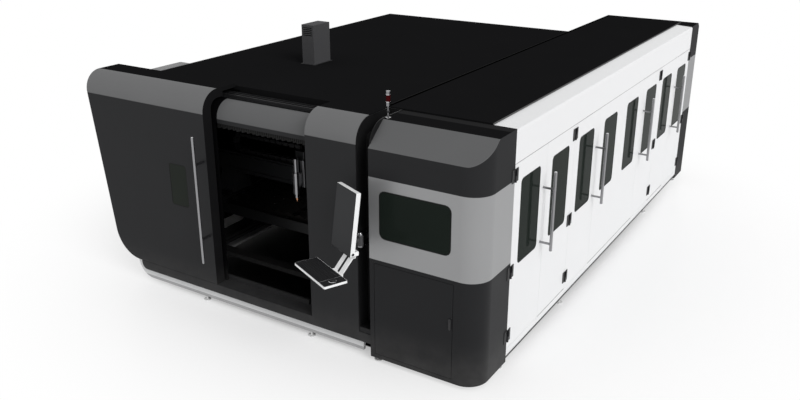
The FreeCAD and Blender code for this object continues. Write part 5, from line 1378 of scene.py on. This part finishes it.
@dataclass
class SideWall(SubAssembly):
    """The white right side: hinge flaps and screws, gaskets, the handles' collars and caps."""

    hinge_levels: Point = (0.252, 0.882, 1.771)
    hinge_height: float = 0.118
    hinge_plate: float = 0.006
    line_inset: float = 0.0083
    leaf_reach: float = 0.0228
    flap_start: float = 0.0345
    flap_end: float = 0.06
    flap_corner: float = 0.003
    flap_chamfer: Pair = (0.0008, 0.001)
    screw_shares: Pair = (0.2, 0.8)
    screw_size: Pair = (0.0055, 0.0025)
    glass_corner: float = 0.045
    fixed_middles: Box = (-1.8015, -0.38, 0.38, 1.8015)
    post_levels: Pair = (0.987, 1.525)
    collar: Profile = ((0.019, CLEAR), (0.019, 0.003), (0.0175, 0.0045), (0.0118, 0.0045),
                       (0.0118, CLEAR))

    def build(self) -> None:
        """Builds the pieces of the four doors and of the frame."""
        fixed, flaps = [], []
        for number, way in ((1, 1), (2, 1), (3, -1), (4, -1)):
            door = f"side_door_{number}"
            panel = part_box(door + "_panel")
            line = panel[0].y + self.line_inset if way > 0 else panel[1].y - self.line_inset
            fixed += self._leaf(line - way * self.leaf_reach)
            self.kit.screw_row(Part(door + "_hinge_screws", self.paint.bolt, door),
                               self._leaf(line + way * self.leaf_reach), Axis.RIGHT,
                               *self.screw_size)
            flaps += self._flaps(line, -way)
            self.kit.solid(Part(door + "_hinge_flaps", self.paint.black, door),
                           self._flaps(line, way))
            self._pane(door)
            self._handle(door)
        self.kit.screw_row(Part("frame_hinge_screws", self.paint.bolt), fixed, Axis.RIGHT,
                           *self.screw_size)
        self.kit.solid(Part("frame_hinge_flaps", self.paint.black), flaps)
        self._fixed_panes()

    def _leaf(self, middle: float) -> list[Point]:
        """Places two screws on each of the three leaves in a column.

        Args:
            middle: where the column stands along the wall.

        Returns:
            The screws' places.
        """
        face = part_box("side_frame")[1].x + self.hinge_plate
        return [(face, middle, level + self.hinge_height * share)
                for level in self.hinge_levels for share in self.screw_shares]

    def _flaps(self, line: float, way: int) -> Placed:
        """Lengthens a hinge's leaf by a chamfered flap at each of the three levels.

        Args:
            line: where the hinge's axis runs along the wall.
            way: on which side of the axis the leaf lies.

        Returns:
            The flaps with their placings.
        """
        near, far = sorted((line + way * self.flap_start, line + way * self.flap_end))
        place = looking(Axis.RIGHT, (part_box("side_frame")[1].x, 0.0, 0.0))
        return [(plate((near, level, far, level + self.hinge_height), self.flap_corner, 2,
                       self.hinge_plate, self.flap_chamfer), place)
                for level in self.hinge_levels]

    def _pane(self, door: str) -> None:
        """Lays the gasket of a door's pane.

        Args:
            door: the door's body.
        """
        low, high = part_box(door + "_pane")
        self.gasket(door + "_gasket", (low.y, low.z, high.y, high.z), self.glass_corner,
                    looking(Axis.RIGHT, (high.x, 0.0, 0.0)), door)

    def _fixed_panes(self) -> None:
        """Lays the gaskets of the four panes in the frame."""
        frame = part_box("side_frame")
        middle = (frame[0].y + frame[1].y) / 2
        low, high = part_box("side_door_1_pane")
        half = (high.y - low.y) / 2
        for number, shift in enumerate(self.fixed_middles, 1):
            pane = (middle + shift - half, low.z, middle + shift + half, high.z)
            self.gasket(f"fixed_pane_{number}_gasket", pane, self.glass_corner,
                        looking(Axis.RIGHT, (high.x, 0.0, 0.0)))

    def _handle(self, door: str) -> None:
        """Puts collars under a handle's posts and caps on its bar's ends.

        Args:
            door: the door's body.
        """
        low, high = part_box(door + "_handle")
        middle = (low.y + high.y) / 2
        collar = turned(self.collar, hollow=True)
        shapes = [(collar, looking(Axis.RIGHT, (low.x, middle, level)))
                  for level in self.post_levels]
        shapes += self.bar_caps(high.x - BAR_RADIUS, middle, low.z, high.z)
        self.kit.solid(Part(door + "_fittings", self.paint.chrome, door), shapes)


@dataclass
class SlidingDoor(SubAssembly):
    """The sliding door's gasket, the black sleeves of its handle and the bar's caps.

    A sleeve is given by half its width and its corners' radius, outside and inside.
    """

    window_corner: float = 0.03
    gasket_width: float = 0.006
    post_levels: Pair = (0.777, 1.556)
    sleeve: Profile = ((0.0108, 0.002), (0.0083, 0.0004))
    sleeve_start: float = 0.0003
    bar_gap: float = 0.001

    def build(self) -> None:
        """Builds the pieces, all on the sliding door's body."""
        door = "sliding_door"
        low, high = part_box("sliding_door_window")
        self.gasket("sliding_door_gasket", (low.x, low.z, high.x, high.z), self.window_corner,
                    looking(Axis.FRONT, (0.0, low.y, 0.0)), door, self.gasket_width)
        low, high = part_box("sliding_door_handle")
        middle = (low.x + high.x) / 2
        length = high.y - low.y - 2 * BAR_RADIUS - self.bar_gap
        outer, inner = (rounded_loop((-half, -half, half, half), corner, 3)
                        for half, corner in self.sleeve)
        sleeves = [(ring(outer, inner, self.sleeve_start, length),
                    looking(Axis.FRONT, (middle, high.y, level))) for level in self.post_levels]
        self.kit.solid(Part("sliding_door_sleeves", self.paint.black, door), sleeves)
        self.kit.solid(Part("sliding_door_caps", self.paint.chrome, door),
                       self.bar_caps(middle, low.y + BAR_RADIUS, low.z, high.z))


@dataclass
class Doorway(SubAssembly):
    """The brush strip under the header and the bolts of the door's track."""

    brush_pitch: float = 0.022
    brush_size: Point = (0.0185, 0.003, 0.055)
    brush_set: float = 0.034
    brush_drop: float = 0.0015
    brush_mix: tuple[int, int] = (37, 11)
    bolt_pitch: float = 0.18
    bolt_rows: Pair = (0.0452, 0.0872)
    bolt_inset: float = 0.06
    bolt_size: Pair = (0.006, 0.004)
    track_floor: float = 0.006

    def build(self) -> None:
        """Builds the pieces, all fixed; the bristles end at slightly different heights."""
        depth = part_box("header_hood")[0].y + self.brush_set
        count = int((DOORWAY_RIGHT - DOORWAY_LEFT) / self.brush_pitch)
        stride, levels = self.brush_mix
        places = [(DOORWAY_LEFT + self.brush_pitch * (step + 0.5), depth,
                   DOORWAY_TOP - self.brush_size[2] / 2
                   + self.brush_drop * (step * stride % levels)) for step in range(count)]
        self.kit.repeat(Part("doorway_brush", self.paint.rubber), self.kit.tiles, places,
                        (0.0, 0.0, 0.0), Size=self.brush_size, Taper=1.0)
        low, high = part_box("door_track")
        count = int((high.x - low.x - 2 * self.bolt_inset) / self.bolt_pitch)
        bolts = [(low.x + self.bolt_inset + step * self.bolt_pitch, low.y + row,
                  low.z + self.track_floor) for step in range(count + 1) for row in self.bolt_rows]
        self.kit.screw_row(Part("track_bolts", self.paint.bolt), bolts, Axis.UP, *self.bolt_size)


@dataclass
class FrontCabinet(SubAssembly):
    """The front cabinet's window gasket, what stands behind it, and the lock's barrel."""

    glass: Box = (1.2765, 1.239, 1.9735, 1.683)
    glass_corner: float = 0.06
    shelf_set: float = 0.16
    shelf: Box = (0.05, 0.09, 0.27, 0.1)
    shelf_corner: float = 0.004
    shelf_depth: float = 0.1
    block_lefts: Pair = (0.08, 0.17)
    block_width: float = 0.06
    block_levels: Pair = (0.02, 0.088)
    block_depths: Point = (-0.07, -0.012, -0.006)
    block_corner: float = 0.006
    block_chamfer: float = 0.004
    barrel_rise: float = 0.083
    barrel: Point = (0.0075, 0.0015, 0.0005)
    key_half: Pair = (0.0012, 0.004)
    key_depths: Pair = (0.0015, 0.0018)

    def build(self) -> None:
        """Builds the pieces."""
        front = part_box("side_panes")[0].y
        self.gasket("cabinet_gasket", self.glass, self.glass_corner,
                    looking(Axis.FRONT, (0.0, front, 0.0)))
        self._shelf(looking(Axis.FRONT, (self.glass[0], front + self.shelf_set, self.glass[1])))
        low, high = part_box("cabinet_lock")
        barrel = looking(Axis.FRONT, ((low.x + high.x) / 2, low.y, low.z + self.barrel_rise))
        wide, tall = self.key_half
        keyway = [(wide, -tall), (wide, tall), (-wide, tall), (-wide, -tall)]
        self.kit.solid(Part("lock_barrel", self.paint.bolt, "cabinet_lock"),
                       [(bossed(*self.barrel), barrel)])
        self.kit.solid(Part("lock_keyway", self.paint.black, "cabinet_lock"),
                       [(prism(keyway, *self.key_depths), barrel)])

    def _shelf(self, place: Matrix) -> None:
        """Builds the folded shelf behind the glass, with its two terminal blocks.

        Args:
            place: the local frame, at the glass's lower left corner and set back.
        """
        board = rounded_loop(self.shelf, self.shelf_corner, 3)
        shapes = [(prism(board, -self.shelf_depth, 0.0), place)]
        foot_level, top_level = self.block_levels
        back, edge, front = self.block_depths
        for left in self.block_lefts:
            box = (left, foot_level, left + self.block_width, top_level)
            foot = rounded_loop(box, self.block_corner, 3)
            rim = rounded_loop(box, self.block_chamfer, 3, self.block_chamfer)
            shapes.append((stacked([(foot, back), (foot, edge), (rim, front)]), place))
        self.kit.solid(Part("cabinet_shelf", self.paint.silver), shapes)


@dataclass
class OperatorPanel(SubAssembly):
    """The swivelling monitor's and the key tray's fittings, in the arm's own turned frame.

    Bolt, disc and boss are given by radius, height and edge, and the bezel's edges by inset
    and corner radius.
    """

    yaw: float = math.radians(-25.0)
    lean: float = math.radians(-7.6)
    tray: Box = (-0.198, -0.543, 0.342, -0.325)
    tray_edge: float = 0.003
    pad: Box = (-0.172, -0.509, 0.228, -0.359)
    pad_gap: float = 0.001
    pad_corner: float = 0.0012
    mat_split: float = 0.01
    mat_corner: float = 0.008
    mat_thick: float = 0.0009
    knob: Pair = (0.28, -0.434)
    knob_hole: float = 0.012
    knob_ring: Profile = ((0.034, 0.001), (0.034, 0.002), (0.031, 0.0035), (0.0275, 0.0035),
                          (0.0275, 0.001))
    knob_dish: Profile = ((0.022, CLEAR), (0.021, 0.0025), (0.017, 0.0025), (0.015, 0.0012))
    key_pitch: Pair = (0.0205, 0.0235)
    key_size: Point = (0.0168, 0.0195, 0.0036)
    key_taper: float = 0.8
    key_margin: float = 0.006
    tilt_axis: Pair = (-0.215, 1.205)
    yoke: Pair = (-0.0993, 0.2433)
    case: Box = (-0.093, 1.178, 0.237, 1.738)
    case_front: float = -0.236
    case_thick: float = 0.042
    bezel_edges: Profile = ((0.0008, 0.0072), (0.0052, 0.002))
    bezel_thick: float = 0.0009
    back_edge: float = 0.03
    back_foot: float = 0.12
    back_corner: float = 0.012
    back_thick: float = 0.002
    back_chamfer: Pair = (0.001, 0.001)
    rib_count: int = 9
    rib_pitch: float = 0.014
    rib_height: float = 0.006
    rib_side: float = 0.07
    rib_top: float = 0.08
    rib_corner: float = 0.0029
    rib_depths: Pair = (0.0021, 0.0045)
    washer_radii: Pair = (0.0145, 0.012)
    washer_thick: float = 0.0016
    tilt_bolt: Point = (0.0115, 0.004, 0.0015)
    swivel_disc: Point = (0.02, 0.006, 0.003)
    swivel_boss: Point = (0.009, 0.004, 0.001)
    swivel_boss_low: float = 0.0062

    def build(self) -> None:
        """Builds the fittings of the tray, the monitor, the tilt axis and the swivel."""
        self._keys()
        self._mats()
        self._knob()
        self._bezel()
        self._back()
        self._bolts()

    def _arm(self) -> Matrix:
        """The placing of the arm's turned frame, which stands on the floor under its pivot."""
        return Matrix.Translation(ARM_PIVOT) @ Matrix.Rotation(self.yaw, 4, "Z")

    def _local(self, x: float, y: float, z: float, turn: Axis = Axis.UP) -> Matrix:
        """The placing of a frame in the arm's turned frame, at a point and looking one way."""
        return self._arm() @ looking(turn, (x, y, z))

    def _leaned(self, axis: Axis, depth: float) -> Matrix:
        """The placing of a frame on the leaning monitor.

        Args:
            axis: where the frame's Z looks, before the monitor leans.
            depth: how far to the rear of the swivel it lies.

        Returns:
            The matrix.
        """
        y, z = self.tilt_axis
        lean = (Matrix.Translation((0.0, y, z)) @ Matrix.Rotation(self.lean, 4, "X")
                @ Matrix.Translation((0.0, -y, -z)))
        return self._arm() @ lean @ looking(axis, (0.0, depth, 0.0))

    def _keys(self) -> None:
        """Sets the rows of keys on the mat."""
        x0, y0, x1, y1 = self.pad
        step_x, step_y = self.key_pitch
        columns = int((x1 - x0 - self.key_margin) / step_x)
        rows = int((y1 - y0 - self.key_margin) / step_y)
        first_x = (x0 + x1 - (columns - 1) * step_x) / 2
        first_y = (y0 + y1 - (rows - 1) * step_y) / 2
        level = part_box("keypad")[1].z + self.key_size[2] / 2
        places = [tuple(self._local(first_x + step_x * column, first_y + step_y * row,
                                    level).translation)
                  for column in range(columns) for row in range(rows)]
        self.kit.repeat(Part("tray_keys", self.paint.key, "keyboard_tray"), self.kit.tiles,
                        places, (0.0, 0.0, self.yaw), Size=self.key_size, Taper=self.key_taper)

    def _mats(self) -> None:
        """Lays dark mats round the keys and round the knob, short of the tray's white edge."""
        x0, y0, x1, y1 = self.tray
        edge, split = self.tray_edge, self.pad[2] + self.mat_split
        outer = rounded_loop((x0 + edge, y0 + edge, split, y1 - edge), self.mat_corner)
        inner = rounded_loop(self.pad, self.pad_corner, inset=-self.pad_gap)
        right = rounded_loop((split, y0, x1, y1), self.mat_corner, inset=edge)
        hole = ray_circle(right, self.knob, self.knob_hole)
        place = self._local(0.0, 0.0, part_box("keyboard_tray")[1].z)
        self.kit.solid(Part("tray_mats", self.paint.key, "keyboard_tray"),
                       [(ring(outer, inner, CLEAR, self.mat_thick), place),
                        (ring(right, hole, CLEAR, self.mat_thick), place)])

    def _knob(self) -> None:
        """Builds the knob's chromed bezel on the tray and the dished cap on the button."""
        place = self._local(*self.knob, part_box("keyboard_tray")[1].z)
        bezel = turned(self.knob_ring, hollow=True)
        self.kit.solid(Part("knob_bezel", self.paint.chrome, "keyboard_tray"), [(bezel, place)])
        cap = self._local(*self.knob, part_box("push_button")[1].z)
        self.kit.solid(Part("knob_cap", self.paint.black, "push_button"),
                       [(turned(self.knob_dish), cap)])

    def _back(self) -> None:
        """Builds the plate on the monitor's back, with its cooling ribs."""
        place = self._leaned(Axis.REAR, self.case_front + self.case_thick)
        x0, z0, x1, z1 = self.case
        edge, side = self.back_edge, self.rib_side
        back = plate((-x1 + edge, z0 + self.back_foot, -x0 - edge, z1 - edge),
                     self.back_corner, 5, self.back_thick, self.back_chamfer)
        self.kit.solid(Part("monitor_back", self.paint.key, "monitor"), [(back, place)])
        ribs = []
        for row in range(self.rib_count):
            low = z1 - self.rib_top - row * self.rib_pitch
            rib = rounded_loop((-x1 + side, low, -x0 - side, low + self.rib_height),
                               self.rib_corner, 2)
            ribs.append((prism(rib, *self.rib_depths), place))
        self.kit.solid(Part("monitor_ribs", self.paint.black, "monitor"), ribs)

    def _bezel(self) -> None:
        """Lays the black bezel round the glass, in the leaning monitor's frame."""
        loops = [rounded_loop(self.case, corner, inset=inset)
                 for inset, corner in self.bezel_edges]
        self.kit.solid(Part("monitor_bezel", self.paint.key, "monitor"),
                       [(ring(*loops, CLEAR, self.bezel_thick),
                         self._leaned(Axis.FRONT, self.case_front))])

    def _bolts(self) -> None:
        """Builds the washers and bolts on the tilt axis and the cap on the swivel pin."""
        ends = [self._local(x, *self.tilt_axis, axis)
                for x, axis in zip(self.yoke, (Axis.LEFT, Axis.RIGHT))]
        washer = ring(*map(circle, self.washer_radii), CLEAR, self.washer_thick)
        bolt = bossed(*self.tilt_bolt, CLEAR)
        self.kit.solid(Part("tilt_washers", self.paint.chrome, "hmi_arm"),
                       [(washer, end) for end in ends])
        self.kit.solid(Part("tilt_bolts", self.paint.black, "hmi_arm"),
                       [(bolt, end) for end in ends])
        cap = looking(Axis.UP, (*ARM_PIVOT[:2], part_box("hmi_bracket")[1].z))
        self.kit.solid(Part("swivel_cap", self.paint.chrome),
                       [(bossed(*self.swivel_disc, CLEAR), cap),
                        (bossed(*self.swivel_boss, self.swivel_boss_low), cap)])


@dataclass
class StackLight(SubAssembly):
    """The lamp's chromed collars and the knuckle on its stem."""

    radius: float = 0.0192
    collar_height: float = 0.004
    collar_wall: float = 0.0012
    knuckle_rise: float = 0.048
    knuckle: Profile = ((0.0085, 0.0), (0.0125, 0.004), (0.0125, 0.014), (0.0085, 0.018),
                        (0.0078, 0.018), (0.0078, 0.0))

    def build(self) -> None:
        """Builds the collars at both ends of the lens and the knuckle."""
        low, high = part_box("stack_light_lens")
        centre = ((low.x + high.x) / 2, (low.y + high.y) / 2)
        collar = ring(circle(self.radius + self.collar_wall), circle(self.radius + CLEAR), 0.0,
                      self.collar_height)
        self.kit.solid(Part("lamp_collars", self.paint.chrome),
                       [(collar, looking(Axis.UP, (*centre, level)))
                        for level in (low.z, high.z - self.collar_height)])
        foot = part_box("stack_light_base")[0].z + self.knuckle_rise
        self.kit.solid(Part("lamp_knuckle", self.paint.black),
                       [(turned(self.knuckle, hollow=True), looking(Axis.UP, (*centre, foot)))])


@dataclass
class Machinery(SubAssembly):
    """What shows through the doorway and on the roof: the nozzle's nut and the duct's screws."""

    flange_inset: float = 0.01
    flange_shares: Point = (0.1, 0.5, 0.9)
    screw_size: Pair = (0.004, 0.0025)
    nut_radius: float = 0.0195
    nut_sides: int = 12
    nut_reach: Pair = (-0.014, -0.001)
    nut_gap: float = 0.0003

    def build(self) -> None:
        """Builds the screws in the duct's flange and the nut round the nozzle."""
        low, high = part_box("exhaust_duct")
        inset = self.flange_inset
        places = [(x, low.y + (high.y - low.y) * share, DUCT_FLANGE_TOP)
                  for x in (low.x + inset, high.x - inset) for share in self.flange_shares]
        self.kit.screw_row(Part("duct_screws", self.paint.bolt), places, Axis.UP,
                           *self.screw_size)
        low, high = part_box("nozzle")
        centre = ((low.x + high.x) / 2, (low.y + high.y) / 2)
        hole = (high.x - low.x) / 2 + self.nut_gap
        nut, bore = (circle(radius, self.nut_sides, math.pi / self.nut_sides)
                     for radius in (self.nut_radius, hole))
        self.kit.solid(Part("nozzle_nut", self.paint.copper, "cutting_head"),
                       [(ring(nut, bore, *self.nut_reach), looking(Axis.UP, (*centre, high.z)))])


ASSEMBLIES = (SideWall, SlidingDoor, Doorway, FrontCabinet, OperatorPanel, StackLight, Machinery)


def main() -> None:
    """Loads the frame, dresses it, builds each sub-assembly and the studio."""
    logging.basicConfig(level=logging.INFO, format="%(name)s: %(message)s")
    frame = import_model()
    cad_low, cad_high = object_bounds()
    scene = bpy.context.scene
    scene.view_settings.view_transform = "Standard"
    kit = Kit()
    paint = Paintwork()
    kit.dress(frame, paint.nodes)
    for assembly in ASSEMBLIES:
        assembly(kit, paint).build()
    # The footprints under which the floor gets its painted shadow.
    casing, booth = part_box("base_casing"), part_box("rear_cabinet")
    footprints = [(casing[0], Vector((booth[1].x, casing[1].y, 0.0))),
                  (Vector((booth[0].x, casing[0].y, 0.0)), booth[1])]
    Studio().build((cad_low + cad_high) / 2, footprints)


if __name__ == "__main__":
    main()
